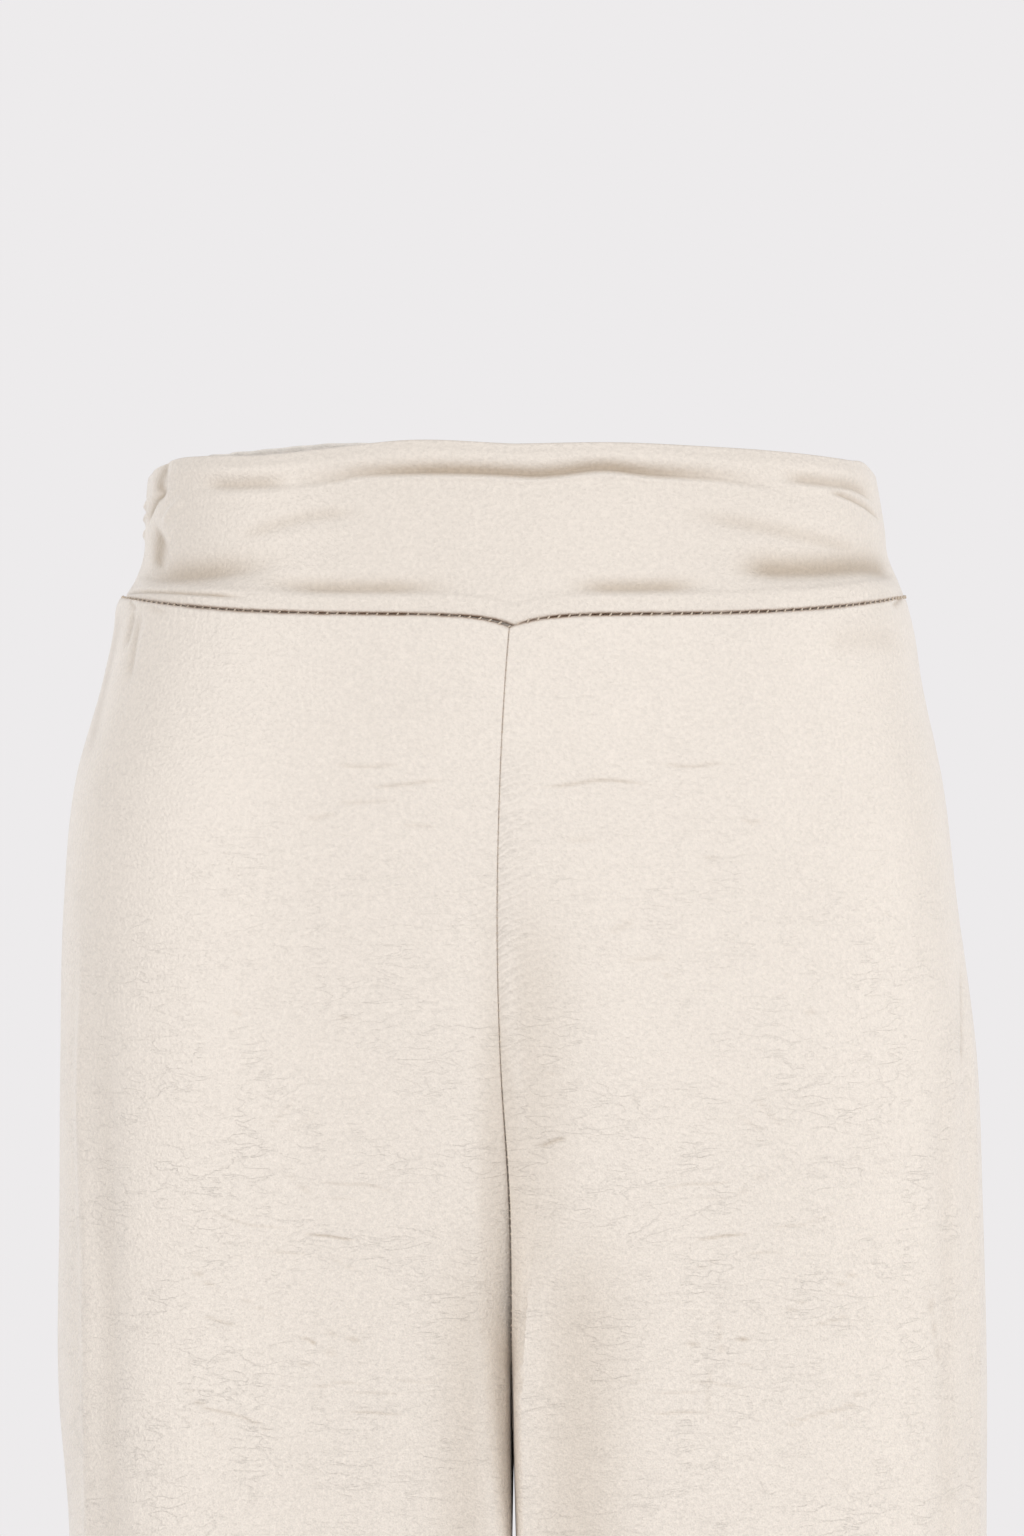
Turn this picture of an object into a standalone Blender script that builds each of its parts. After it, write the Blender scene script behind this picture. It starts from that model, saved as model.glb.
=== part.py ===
"""High-waisted wide-leg trousers in satin, hollow and filled out as they are worn.

The front faces -Y and +X is the wearer's left. The origin is the middle of the waist opening.
Each piece of cloth is a wall whose outside lies on smooth sections. The trunk is one oval, each leg is a
squared oval of its own, and between the fork and the crotch one turns into the other. A point on a piece is
given by its share across, 0 at the centre seam or inseam and 1 at the side seam, and by its fall, the
distance below the origin.
"""

import math
from collections import namedtuple

import bmesh
import bpy
import numpy as np

# Driving dimensions, in metres
SEAM_GAP = 0.0003
LEG_WALL = 0.0015
FRONT_BAND_WALL = 0.0024
BACK_BAND_WALL = 0.0018
FORK_FALL = 0.250
CROTCH_FALL = 0.340
HEM_FALL = 1.050

# The seam under the waistband
SEAM_SIDE_FALL = 0.0557
SEAM_FRONT_FALL = 0.0630
SEAM_BACK_FALL = 0.0575
POINT_DROP = 0.0044
POINT_REACH = 0.010

# How square the sections are: 2 is an ellipse
TRUNK_POWER = 2.2
LEG_OUTER_POWER = 2.3

# How one trunk section turns into two legs
BLEND_LENGTH = 2.2 * (CROTCH_FALL - FORK_FALL)
INNER_SHARE = 0.40
SPREAD_RISE = 0.100
LEG_GIRTH_RATIO = 1.3

# Gathers of the elasticated back
GATHERS_EACH_SIDE = 14
BAND_GATHER_DEPTH = 0.0011
LEG_GATHER_DEPTH = 0.0013
GATHER_FADE = 0.075
GATHER_END = 0.07

# Columns of points from the centre to the side seam, and rows
FRONT_COLUMNS = 16
BACK_BAND_COLUMNS = 4 * GATHERS_EACH_SIDE
BACK_TOP_COLUMNS = 2 * GATHERS_EACH_SIDE
BACK_LOWER_COLUMNS = GATHERS_EACH_SIDE
TRUNK_STEPS = (0, 0.02, 0.05, 0.10, 0.18, 0.30, 0.44, 0.60, 0.80, 1)
GATHERED_STEPS = 6
FORK_ROWS = 8
LEG_STEPS = (0.03, 0.07, 0.13, 0.20, 0.28, 0.36, 0.44, 0.52, 0.60, 0.68, 0.76, 0.84, 0.92, 1)

# sign is +1 towards +X, inner_power squares the leg's inner side, valley opens the fold at the crotch
Half = namedtuple("Half", "name sign inner_power valley unevenness")
HALVES = (
    Half("left", 1, 3.3, 0.05, 17),
    Half("right", -1, 2.7, 0.11, 23),
)

# Half widths to the wearer's left and right, and depths in front and behind
Section = namedtuple("Section", "fall left right front back")
BAND_SECTIONS = (
    Section(-0.010, 0.1255, 0.1275, 0.0925, 0.0935),
    Section(0.002, 0.1268, 0.1285, 0.0938, 0.0950),
    Section(0.014, 0.1290, 0.1310, 0.0958, 0.0962),
    Section(0.032, 0.1320, 0.1320, 0.0988, 0.0978),
    Section(0.041, 0.1330, 0.1325, 0.1003, 0.0990),
    Section(0.050, 0.1366, 0.1356, 0.1021, 0.1010),
    Section(0.058, 0.1397, 0.1403, 0.1034, 0.1034),
    Section(0.069, 0.1412, 0.1420, 0.1044, 0.1050),
)
LEG_SECTIONS = (
    Section(0.054, 0.1387, 0.1400, 0.1034, 0.1040),
    Section(0.059, 0.1402, 0.1422, 0.1046, 0.1062),
    Section(0.067, 0.1422, 0.1432, 0.1056, 0.1092),
    Section(0.085, 0.1450, 0.1470, 0.1070, 0.1150),
    Section(0.121, 0.1525, 0.1568, 0.1094, 0.1245),
    Section(0.166, 0.1580, 0.1611, 0.1112, 0.1320),
    Section(0.219, 0.1648, 0.1623, 0.1124, 0.1345),
    Section(0.273, 0.1670, 0.1626, 0.1122, 0.1315),
    Section(0.340, 0.1685, 0.1628, 0.1105, 0.1240),
    Section(0.385, 0.1683, 0.1592, 0.1090, 0.1180),
    Section(0.480, 0.1695, 0.1612, 0.1060, 0.1115),
    Section(0.700, 0.1740, 0.1660, 0.1000, 0.1040),
    Section(0.900, 0.1790, 0.1710, 0.0965, 0.1005),
    Section(1.060, 0.1835, 0.1755, 0.0950, 0.0990),
)

# Half the space between the legs
Space = namedtuple("Space", "fall half")
LEG_SPACES = (
    Space(CROTCH_FALL, SEAM_GAP / 2),
    Space(0.390, 0.0009),
    Space(0.500, 0.0030),
    Space(0.750, 0.0075),
    Space(1.060, 0.0120),
)

# How far the centre front seam strays towards +X
Stray = namedtuple("Stray", "fall shift")
CENTRE_STRAYS = (
    Stray(0.054, -0.0008),
    Stray(0.085, -0.0034),
    Stray(0.130, -0.0056),
    Stray(0.180, -0.0062),
    Stray(0.220, -0.0050),
    Stray(0.265, -0.0020),
    Stray(0.340, -0.0010),
    Stray(0.420, 0.0002),
    Stray(1.060, 0.0000),
)

# Falls of the waistband's top edge, by the share across
TopEdge = namedtuple("TopEdge", "share front_left front_right back_left back_right")
TOP_EDGES = (
    TopEdge(0.00, 0.0032, 0.0032, -0.0002, -0.0002),
    TopEdge(0.30, 0.0027, 0.0019, 0.0000, -0.0012),
    TopEdge(0.50, 0.0037, 0.0044, 0.0012, -0.0015),
    TopEdge(0.70, 0.0050, 0.0074, 0.0034, 0.0008),
    TopEdge(0.86, 0.0067, 0.0086, 0.0054, 0.0033),
    TopEdge(0.93, 0.0077, 0.0096, 0.0063, 0.0041),
    TopEdge(0.97, 0.0084, 0.0112, 0.0074, 0.0076),
    TopEdge(1.00, 0.0125, 0.0130, 0.0125, 0.0130),
)

# Soft swells and hollows that cross the front band: share is the place down its height
BandRelief = namedtuple("BandRelief", "share out")
FRONT_BAND_RELIEF = (
    BandRelief(0.00, 0.0000),
    BandRelief(0.08, 0.0008),
    BandRelief(0.165, -0.0006),
    BandRelief(0.28, 0.0003),
    BandRelief(0.76, 0.0004),
    BandRelief(0.86, -0.0005),
    BandRelief(1.00, 0.0002),
)
BACK_BAND_STEPS = (0, 0.12, 0.45, 0.80, 1)

# Long soft folds that deepen towards the hem
Fold = namedtuple("Fold", "half face across start width out")
DRAPE_FOLDS = (
    Fold("left", "front", 0.50, 0.36, 0.060, 0.0042),
    Fold("left", "front", 0.66, 0.48, 0.055, -0.0050),
    Fold("left", "front", 0.82, 0.40, 0.050, 0.0034),
    Fold("right", "front", 0.46, 0.46, 0.065, 0.0036),
    Fold("right", "front", 0.61, 0.38, 0.050, -0.0044),
    Fold("right", "front", 0.80, 0.52, 0.060, 0.0046),
    Fold("left", "back", 0.38, 0.44, 0.070, 0.0040),
    Fold("left", "back", 0.57, 0.38, 0.070, -0.0052),
    Fold("left", "back", 0.78, 0.50, 0.070, 0.0048),
    Fold("right", "back", 0.36, 0.38, 0.070, -0.0038),
    Fold("right", "back", 0.56, 0.46, 0.070, 0.0050),
    Fold("right", "back", 0.77, 0.42, 0.070, -0.0036),
)

# Faces name the direction along Y that they look in
FACES = {"front": -1, "back": 1}

Finish = namedtuple("Finish", "name colour roughness")
SATIN = Finish("champagne_satin", (0.80, 0.73, 0.64, 1), 0.42)
SATIN_BACK = Finish("champagne_satin_back", (0.76, 0.69, 0.60, 1), 0.46)
SATIN_BAND = Finish("interfaced_satin", (0.79, 0.72, 0.63, 1), 0.44)
SATIN_ELASTIC = Finish("satin_over_elastic", (0.75, 0.68, 0.59, 1), 0.48)


def read(rows, key, name, at):
    """One column of a table at these places, on a smooth curve through its rows."""
    known = np.array([getattr(row, key) for row in rows])
    values = np.array([getattr(row, name) for row in rows])
    slopes = np.gradient(values, known)
    at = np.clip(at, known[0], known[-1])
    row = np.clip(np.searchsorted(known, at, side="right") - 1, 0, len(known) - 2)
    span = known[row + 1] - known[row]
    part = (at - known[row]) / span
    start = (1 + 2 * part) * (1 - part) ** 2 * values[row] + part * (1 - part) ** 2 * span * slopes[row]
    end = part**2 * (3 - 2 * part) * values[row + 1] - part**2 * (1 - part) * span * slopes[row + 1]
    return start + end


def eased(part):
    """0 to 1 with a level start and end."""
    part = np.clip(part, 0, 1)
    return part**2 * (3 - 2 * part)


def rounded(share, power):
    """The depth of an oval, as a share of its most, at a share of its half width."""
    return np.maximum(1 - share**power, 0) ** (1 / power)


def squared(angle, half):
    """Cosine and sine of a leg's section, where 0 is the inseam and pi the side seam."""
    power = np.where(angle < math.pi / 2, half.inner_power, LEG_OUTER_POWER)
    cosine = np.cos(angle)
    return np.sign(cosine) * np.abs(cosine) ** (2 / power), np.abs(np.sin(angle)) ** (2 / power)


def leg_angle(across, half):
    """The angle that lies this share of the way round from the inseam to the side seam."""
    angles = np.linspace(0, math.pi, 361)
    cosine, sine = squared(angles, half)
    steps = np.hypot(np.diff(cosine), LEG_GIRTH_RATIO * np.diff(sine))
    travelled = np.concatenate([[0], np.cumsum(steps)])
    return np.interp(across, travelled / travelled[-1], angles)


def trunk_share(across):
    """Columns spread evenly round the trunk's oval, as shares of its half width."""
    return np.sin(np.clip(across, 0, 1) * math.pi / 2)


def leg_blend(across, fall):
    """0 where the section is the trunk's and 1 where it is the leg's.

    At the centre seam it follows a quarter ellipse, the curve of the crotch seam. Further out it eases in.
    """
    down = fall - FORK_FALL
    turn = np.clip(down / (CROTCH_FALL - FORK_FALL), 0, 1)
    crotch_curve = 1 - np.sqrt(1 - turn**2)
    nearness = np.clip(1 - across / INNER_SHARE, 0, 1) ** 2
    return nearness * crotch_curve + (1 - nearness) * eased(down / BLEND_LENGTH)


def leg_point(half, face, across, fall):
    """A point on the smooth outside of a half of the trousers, before folds."""
    edge = SEAM_GAP / 2
    width = read(LEG_SECTIONS, "fall", half.name, fall)
    depth = read(LEG_SECTIONS, "fall", face, fall)
    space = read(LEG_SPACES, "fall", "half", fall)
    blend = leg_blend(across, fall)
    cosine, sine = squared(leg_angle(across, half), half)
    leg_share = (1 - cosine) / 2
    spread = half.valley + (1 - half.valley) * eased((FORK_FALL - fall) / SPREAD_RISE)
    share = leg_share + spread * (trunk_share(across) - leg_share)
    trunk_x = edge + (width - edge) * share
    leg_x = space + (width - space) * leg_share
    bulge = (1 - blend) * rounded(share, TRUNK_POWER) + blend * sine
    x = half.sign * ((1 - blend) * trunk_x + blend * leg_x)
    y = FACES[face] * (edge + (depth - edge) * bulge)
    return np.stack([x, y, -fall], axis=-1)


def band_point(half, face, across, fall):
    """A point on the smooth outside of the waistband."""
    edge = SEAM_GAP / 2
    width = read(BAND_SECTIONS, "fall", half.name, fall)
    depth = read(BAND_SECTIONS, "fall", face, fall)
    share = trunk_share(across)
    y = FACES[face] * (edge + (depth - edge) * rounded(share, TRUNK_POWER))
    return np.stack([half.sign * width * share, y, -fall], axis=-1)


def outward(point, half, face, across, fall):
    """Unit normals of a surface, from small steps across it and down it."""
    step = 1e-3
    over = point(half, face, np.minimum(across + step, 1), fall)
    over -= point(half, face, np.maximum(across - step, 0), fall)
    down = point(half, face, across, fall + step) - point(half, face, across, fall - step)
    normal = half.sign * FACES[face] * np.cross(over, down)
    return normal / np.linalg.norm(normal, axis=-1, keepdims=True)


def seam_fall(face, across):
    """The fall of the seam under the waistband, with the front's point at the centre."""
    share = trunk_share(across)
    centre = SEAM_FRONT_FALL if face == "front" else SEAM_BACK_FALL
    fall = centre + (SEAM_SIDE_FALL - centre) * share**4
    if face == "front":
        x = share * read(BAND_SECTIONS, "fall", "left", centre)
        fall = fall + POINT_DROP * np.exp(-x / POINT_REACH)
    return fall


def gathers(half, across):
    """Waves of the gathered back, which die out just before the side seam."""
    depth = 0.75 + 0.25 * np.sin(half.unevenness * across)
    return depth * np.cos(2 * math.pi * GATHERS_EACH_SIDE * across) * eased((1 - across) / GATHER_END)


def leg_relief(half, face, across, fall):
    """How far the folds stand out from the smooth outside of a leg piece."""
    relief = np.zeros(np.broadcast(across, fall).shape)
    for fold in DRAPE_FOLDS:
        if (fold.half, fold.face) == (half.name, face):
            growth = eased((fall - fold.start) / (HEM_FALL - fold.start))
            relief += fold.out * growth * np.exp(-(((across - fold.across) / fold.width) ** 2))
    if face == "back":
        fade = eased(1 - (fall - seam_fall(face, across)) / GATHER_FADE)
        relief += LEG_GATHER_DEPTH * fade * gathers(half, across)
    return relief


def wall(base, normal, relief, thickness):
    """The outer and inner points of a wall."""
    outer = base + relief[..., None] * normal
    return outer, outer - thickness * normal


def held_in_quarter(points, half, face):
    """Points kept half a seam's gap inside their quarter of the trousers."""
    held = points.copy()
    held[..., 0] = half.sign * np.maximum(half.sign * points[..., 0], SEAM_GAP / 2)
    held[..., 1] = FACES[face] * np.maximum(FACES[face] * points[..., 1], SEAM_GAP / 2)
    return held


def strayed(points, half, face, fall):
    """The front's points moved with the centre seam, less and less towards the side."""
    if face == "back":
        return points
    moved = points.copy()
    width = read(LEG_SECTIONS, "fall", half.name, fall)
    nearness = np.clip(1 - np.abs(points[..., 0]) / width, 0, 1) ** 2
    moved[..., 0] += read(CENTRE_STRAYS, "fall", "shift", fall) * nearness
    return moved


def leg_row(half, face, across, fall):
    """One row of outer and inner points of a leg piece."""
    base = leg_point(half, face, across, fall)
    normal = outward(leg_point, half, face, across, fall)
    sides = wall(base, normal, leg_relief(half, face, across, fall), LEG_WALL)
    return [strayed(held_in_quarter(side, half, face), half, face, fall) for side in sides]


def leg_falls(face, across, row):
    """The falls of one row: along the trunk, then round the fork, then down the leg."""
    last_fork_row = len(TRUNK_STEPS) + FORK_ROWS
    if row < len(TRUNK_STEPS):
        seam = seam_fall(face, across)
        return seam + SEAM_GAP / 2 + (FORK_FALL - seam - SEAM_GAP / 2) * TRUNK_STEPS[row]
    if row < last_fork_row:
        turn = (row - len(TRUNK_STEPS) + 1) / FORK_ROWS * math.pi / 2
        return np.full(len(across), FORK_FALL + (CROTCH_FALL - FORK_FALL) * math.sin(turn))
    step = LEG_STEPS[row - last_fork_row]
    return np.full(len(across), CROTCH_FALL + (HEM_FALL - CROTCH_FALL) * step)


def leg_rows(half, face):
    """All rows of a leg piece, with twice the points where the back is gathered."""
    rows = []
    for row in range(len(TRUNK_STEPS) + FORK_ROWS + len(LEG_STEPS)):
        columns = FRONT_COLUMNS
        if face == "back":
            columns = BACK_TOP_COLUMNS if row < GATHERED_STEPS else BACK_LOWER_COLUMNS
        across = np.linspace(0, 1, columns + 1)
        rows.append(leg_row(half, face, across, leg_falls(face, across, row)))
    return rows


def front_band_relief(half, across, step):
    """Swells and hollows across the front band, flat where it meets the side seam."""
    return read(FRONT_BAND_RELIEF, "share", "out", step) * eased((1 - across) / GATHER_END)


def back_band_relief(half, across, step):
    """Gathers of the back band."""
    return BAND_GATHER_DEPTH * gathers(half, across)


def band_row(face, columns, step, relief, thickness):
    """One row of a band, from the wearer's right side seam round the centre to the left one."""
    halves = []
    for half in HALVES:
        across = np.linspace(0, 1, columns + 1)
        top = read(TOP_EDGES, "share", f"{face}_{half.name}", trunk_share(across))
        fall = top + (seam_fall(face, across) - SEAM_GAP / 2 - top) * step
        base = band_point(half, face, across, fall)
        normal = outward(band_point, half, face, across, fall)
        sides = wall(base, normal, relief(half, across, step), thickness)
        halves.append([meets_side_and_centre(side, face) for side in sides])
    left, right = halves
    return [np.concatenate([right[i][:0:-1], left[i]]) for i in range(2)]


def meets_side_and_centre(points, face):
    """A band's points held off the other band at the side seam, with its centre on x = 0."""
    held = points.copy()
    held[..., 1] = FACES[face] * np.maximum(FACES[face] * points[..., 1], SEAM_GAP / 2)
    held[0, 0] = 0
    return held


def faces_between(upper, lower):
    """Triangles between two rows of point numbers, where the lower may have every second point only."""
    faces = []
    for i in range(len(lower) - 1):
        if len(upper) == len(lower):
            faces += [(upper[i], lower[i], lower[i + 1]), (upper[i], lower[i + 1], upper[i + 1])]
        else:
            first, middle, last = upper[2 * i : 2 * i + 3]
            faces += [(first, lower[i], middle), (middle, lower[i], lower[i + 1])]
            faces.append((middle, lower[i + 1], last))
    return faces


def cloth(name, rows, finish):
    """A closed wall of cloth from rows of outer and inner points."""
    points = []
    numbers = ([], [])
    for row in rows:
        for side in range(2):
            start = len(points)
            points += [tuple(point) for point in row[side]]
            numbers[side].append(list(range(start, len(points))))
    outer, inner = numbers
    faces = []
    for i in range(len(rows) - 1):
        faces += faces_between(outer[i], outer[i + 1])
        faces += [face[::-1] for face in faces_between(inner[i], inner[i + 1])]
    for end in (0, -1):
        faces += faces_between(inner[end], outer[end])
        faces += faces_between([row[end] for row in outer], [row[end] for row in inner])
    mesh = bpy.data.meshes.new(name)
    mesh.from_pydata(points, [], faces)
    solid = bmesh.new()
    solid.from_mesh(mesh)
    bmesh.ops.recalc_face_normals(solid, faces=solid.faces)
    solid.to_mesh(mesh)
    solid.free()
    mesh.shade_smooth()
    mesh.set_sharp_from_angle(angle=math.radians(50))
    mesh.materials.append(material(finish))
    piece = bpy.data.objects.new(name, mesh)
    bpy.context.scene.collection.objects.link(piece)
    return piece


def material(finish):
    """A plain Principled material, made once for each finish."""
    made = bpy.data.materials.get(finish.name)
    if made is None:
        made = bpy.data.materials.new(finish.name)
        made.use_nodes = True
        shader = made.node_tree.nodes["Principled BSDF"]
        shader.inputs["Base Color"].default_value = finish.colour
        shader.inputs["Roughness"].default_value = finish.roughness
        shader.inputs["Metallic"].default_value = 0
    return made


def build_waistbands():
    """The plain front band and the gathered back band."""
    steps = [row.share for row in FRONT_BAND_RELIEF]
    front = [band_row("front", FRONT_COLUMNS, step, front_band_relief, FRONT_BAND_WALL) for step in steps]
    cloth("front_waistband", front, SATIN_BAND)
    back = [
        band_row("back", BACK_BAND_COLUMNS, step, back_band_relief, BACK_BAND_WALL)
        for step in BACK_BAND_STEPS
    ]
    cloth("back_waistband", back, SATIN_ELASTIC)


def build_legs():
    """The four leg pieces."""
    for half in HALVES:
        cloth(f"{half.name}_front_leg", leg_rows(half, "front"), SATIN)
        cloth(f"{half.name}_back_leg", leg_rows(half, "back"), SATIN_BACK)


def build():
    for old in list(bpy.data.objects):
        bpy.data.objects.remove(old)
    build_waistbands()
    build_legs()


build()
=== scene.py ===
"""High-waisted wide-leg trousers in champagne satin with a fine crinkle, filled out as they are worn.

The front faces -Y and +X is the wearer's left. A point on a piece is given by its share across, 0 at the
centre seam or inseam and 1 at the side seam, and by its fall, the distance below the origin. Each piece of
cloth is a thin closed shell on its solid's form, with its own creases, turned edges and puckers.
"""

import math
from collections import namedtuple
from functools import partial

import bpy
import numpy as np
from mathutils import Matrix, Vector


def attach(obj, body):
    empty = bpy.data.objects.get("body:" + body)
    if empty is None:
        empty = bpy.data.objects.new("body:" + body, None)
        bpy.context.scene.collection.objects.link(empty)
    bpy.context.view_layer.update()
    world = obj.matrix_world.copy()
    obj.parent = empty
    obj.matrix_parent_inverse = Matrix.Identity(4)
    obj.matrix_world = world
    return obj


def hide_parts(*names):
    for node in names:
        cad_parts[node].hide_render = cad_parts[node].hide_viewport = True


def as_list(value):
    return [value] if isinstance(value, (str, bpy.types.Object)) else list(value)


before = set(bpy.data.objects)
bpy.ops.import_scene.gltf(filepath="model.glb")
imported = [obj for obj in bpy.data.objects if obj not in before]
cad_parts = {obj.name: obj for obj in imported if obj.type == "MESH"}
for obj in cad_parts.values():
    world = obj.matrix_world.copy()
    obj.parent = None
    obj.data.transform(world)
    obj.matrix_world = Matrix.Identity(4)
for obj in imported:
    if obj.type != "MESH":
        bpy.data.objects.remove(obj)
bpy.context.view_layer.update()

# Driving dimensions, in metres
SEAM_GAP = 0.0001
LEG_CLOTH = 0.0009
FRONT_BAND_CLOTH = 0.0018
BACK_BAND_CLOTH = 0.0014
FORK_FALL = 0.300
CROTCH_FALL = 0.352
HEM_FALL = 1.050
HEM_DEPTH = 0.020

# The seam under the waistband
SEAM_SIDE_FALL = 0.0557
SEAM_FRONT_FALL = 0.0630
SEAM_BACK_FALL = 0.0575
POINT_DROP = 0.0044
POINT_REACH = 0.010

# How square the sections are: 2 is an ellipse
TRUNK_POWER = 2.2
LEG_OUTER_POWER = 2.3

# How one trunk section turns into two legs
BLEND_LENGTH = 0.190
INNER_SHARE = 0.40
SPREAD_RISE = 0.100
LEG_GIRTH_RATIO = 1.3

# Where the front's inner corner is filled out
CORNER_START = 0.285
CORNER_GROWTH = 0.050
CORNER_END = 0.600
CORNER_FADE = 0.160

# Gathers of the elasticated back
GATHERS_EACH_SIDE = 14
BAND_GATHER_DEPTH = 0.0011
LEG_GATHER_DEPTH = 0.0013
GATHER_FADE = 0.075
GATHER_END = 0.07

# How far the cloth turns in at its seams
WAIST_TURN = 0.0015
CENTRE_TURN = 0.00032
SIDE_TURN = 0.0008
HEM_STEP = 0.0003
HEM_STEP_REACH = 0.003
EDGE_ROUNDING = 0.45

# How far a seam's darkness, painted shade in its ditch with the thread's brown, and its puckers reach
WAIST_DARK_REACH = 0.00060
CENTRE_DARK_REACH = 0.00026
SIDE_DARK_REACH = 0.0003
SIDE_DARKNESS = 0.45
WAIST_PUCKER_REACH = 0.006
CENTRE_PUCKER_REACH = 0.009

# What shows of each piece, laid flat: its width and length, its flat area and how it is held
Cut = namedtuple("Cut", "width length area held rests_on")
CUTS = {
    "front_waistband": Cut(0.380, 0.062, 0.0220, "draped", ()),
    "back_waistband": Cut(0.450, 0.060, 0.0270, "gathered", ()),
    "front_leg": Cut(0.310, 0.990, 0.2700, "hung", ("front_waistband_cloth",)),
    "back_leg": Cut(0.330, 0.992, 0.2900, "hung", ("back_waistband_cloth",)),
}

# Rows and columns of points: close together at the edges, then evenly spaced
EDGE_STEPS = np.array([0, 0.00008, 0.0002, 0.00036, 0.00056, 0.0008, 0.0011, 0.0015, 0.0020, 0.0027])
PANEL_WIDTH = 0.200
LEG_COLUMN_PITCHES = {"front": 0.0020, "back": 0.0021}
RowPitch = namedtuple("RowPitch", "fall front back")
ROW_PITCHES = (
    RowPitch(0.054, 0.00150, 0.0015),
    RowPitch(0.106, 0.00150, 0.0015),
    RowPitch(0.112, 0.00060, 0.0015),
    RowPitch(0.127, 0.00060, 0.0015),
    RowPitch(0.134, 0.00110, 0.0015),
    RowPitch(0.226, 0.00110, 0.0015),
    RowPitch(0.238, 0.00055, 0.0015),
    RowPitch(0.352, 0.00055, 0.0015),
    RowPitch(0.385, 0.0012, 0.0020),
    RowPitch(0.450, 0.0055, 0.0055),
    RowPitch(1.000, 0.0055, 0.0055),
    RowPitch(1.022, 0.0018, 0.0018),
    RowPitch(1.060, 0.0018, 0.0018),
)
BAND_WIDTH = 0.210
BAND_COLUMN_PITCH = 0.0014
BAND_ROW_PITCH = 0.0006

# Stitches of each kind of seam, each from one seed
Stitch = namedtuple("Stitch", "pitch length thickness slant seed")
STITCHES = {
    "waist_seam": Stitch(0.0036, 0.0019, 0.00065, 0.8, 3),
    "centre": Stitch(0.0027, 0.0010, 0.00045, 1.1, 5),
    "inseam": Stitch(0.0030, 0.0009, 0.00028, 1.2, 7),
    "side_seam": Stitch(0.0030, 0.0011, 0.00028, 1.2, 9),
    "hem": Stitch(0.0055, 0.0013, 0.00032, 0.1, 11),
}

# The camera is level, and its frame is this high at the middle of the trousers
CAMERA_DISTANCE = 4.5
FRAME_HEIGHT = 0.5486
CAMERA_X = -0.00107
CAMERA_FALL = 0.1168
FLOOR_FALL = 1.060

# Which way each face looks along Y
FACES = {"front": -1, "back": 1}

# sign is +1 towards +X, inner_power squares the leg's inner side and corner_power its front corner near the
# crotch, valley opens the fold at the crotch
Half = namedtuple("Half", "name sign inner_power corner_power valley unevenness")
LEFT = Half("left", 1, 3.3, 36.0, 0.010, 17)
RIGHT = Half("right", -1, 2.7, 30.0, 0.016, 23)

# Half widths to the wearer's left and right, and depths in front and behind
Section = namedtuple("Section", "fall left right front back")
BAND_SECTIONS = (
    Section(-0.010, 0.1255, 0.1275, 0.0925, 0.0935),
    Section(0.002, 0.1268, 0.1285, 0.0938, 0.0950),
    Section(0.014, 0.1290, 0.1310, 0.0958, 0.0962),
    Section(0.032, 0.1320, 0.1320, 0.0988, 0.0978),
    Section(0.041, 0.1330, 0.1325, 0.1003, 0.0990),
    Section(0.050, 0.1366, 0.1356, 0.1021, 0.1010),
    Section(0.058, 0.1397, 0.1403, 0.1034, 0.1034),
    Section(0.069, 0.1412, 0.1420, 0.1044, 0.1050),
)
LEG_SECTIONS = (
    Section(0.054, 0.1387, 0.1400, 0.1034, 0.1040),
    Section(0.059, 0.1402, 0.1422, 0.1046, 0.1062),
    Section(0.067, 0.1422, 0.1432, 0.1056, 0.1092),
    Section(0.085, 0.1450, 0.1470, 0.1070, 0.1150),
    Section(0.121, 0.1525, 0.1568, 0.1094, 0.1245),
    Section(0.166, 0.1580, 0.1611, 0.1112, 0.1320),
    Section(0.219, 0.1648, 0.1623, 0.1124, 0.1345),
    Section(0.273, 0.1670, 0.1626, 0.1122, 0.1315),
    Section(0.340, 0.1685, 0.1628, 0.1105, 0.1240),
    Section(0.385, 0.1683, 0.1592, 0.1090, 0.1180),
    Section(0.480, 0.1695, 0.1612, 0.1060, 0.1115),
    Section(0.700, 0.1740, 0.1660, 0.1000, 0.1040),
    Section(0.900, 0.1790, 0.1710, 0.0965, 0.1005),
    Section(1.060, 0.1835, 0.1755, 0.0950, 0.0990),
)

# Half the space between the legs
Space = namedtuple("Space", "fall half")
LEG_SPACES = (
    Space(CROTCH_FALL, 0.00015),
    Space(0.390, 0.0009),
    Space(0.500, 0.0030),
    Space(0.750, 0.0075),
    Space(1.060, 0.0120),
)

# The valley that the front's legs make beside the centre seam, above and below the crotch
Valley = namedtuple("Valley", "fall left_width left_depth right_width right_depth")
VALLEYS = (
    Valley(0.150, 0.0080, 0.0000, 0.0140, 0.0000),
    Valley(0.205, 0.0090, 0.0012, 0.0140, 0.0012),
    Valley(0.245, 0.0095, 0.0034, 0.0140, 0.0034),
    Valley(0.270, 0.0090, 0.0056, 0.0135, 0.0066),
    Valley(0.305, 0.0052, 0.0070, 0.0122, 0.0106),
    Valley(0.330, 0.0036, 0.0054, 0.0108, 0.0122),
    Valley(0.342, 0.0032, 0.0048, 0.0098, 0.0122),
    Valley(0.365, 0.0034, 0.0044, 0.0084, 0.0104),
    Valley(0.385, 0.0028, 0.0030, 0.0052, 0.0060),
    Valley(0.450, 0.0040, 0.0010, 0.0045, 0.0020),
    Valley(0.550, 0.0080, 0.0000, 0.0080, 0.0000),
    Valley(1.060, 0.0120, 0.0000, 0.0120, 0.0000),
)
# How dark the painted shade in the valley is, full from this depth on
VALLEY_SHADE = 0.42
VALLEY_SHADE_DEPTH = 0.0015

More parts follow.
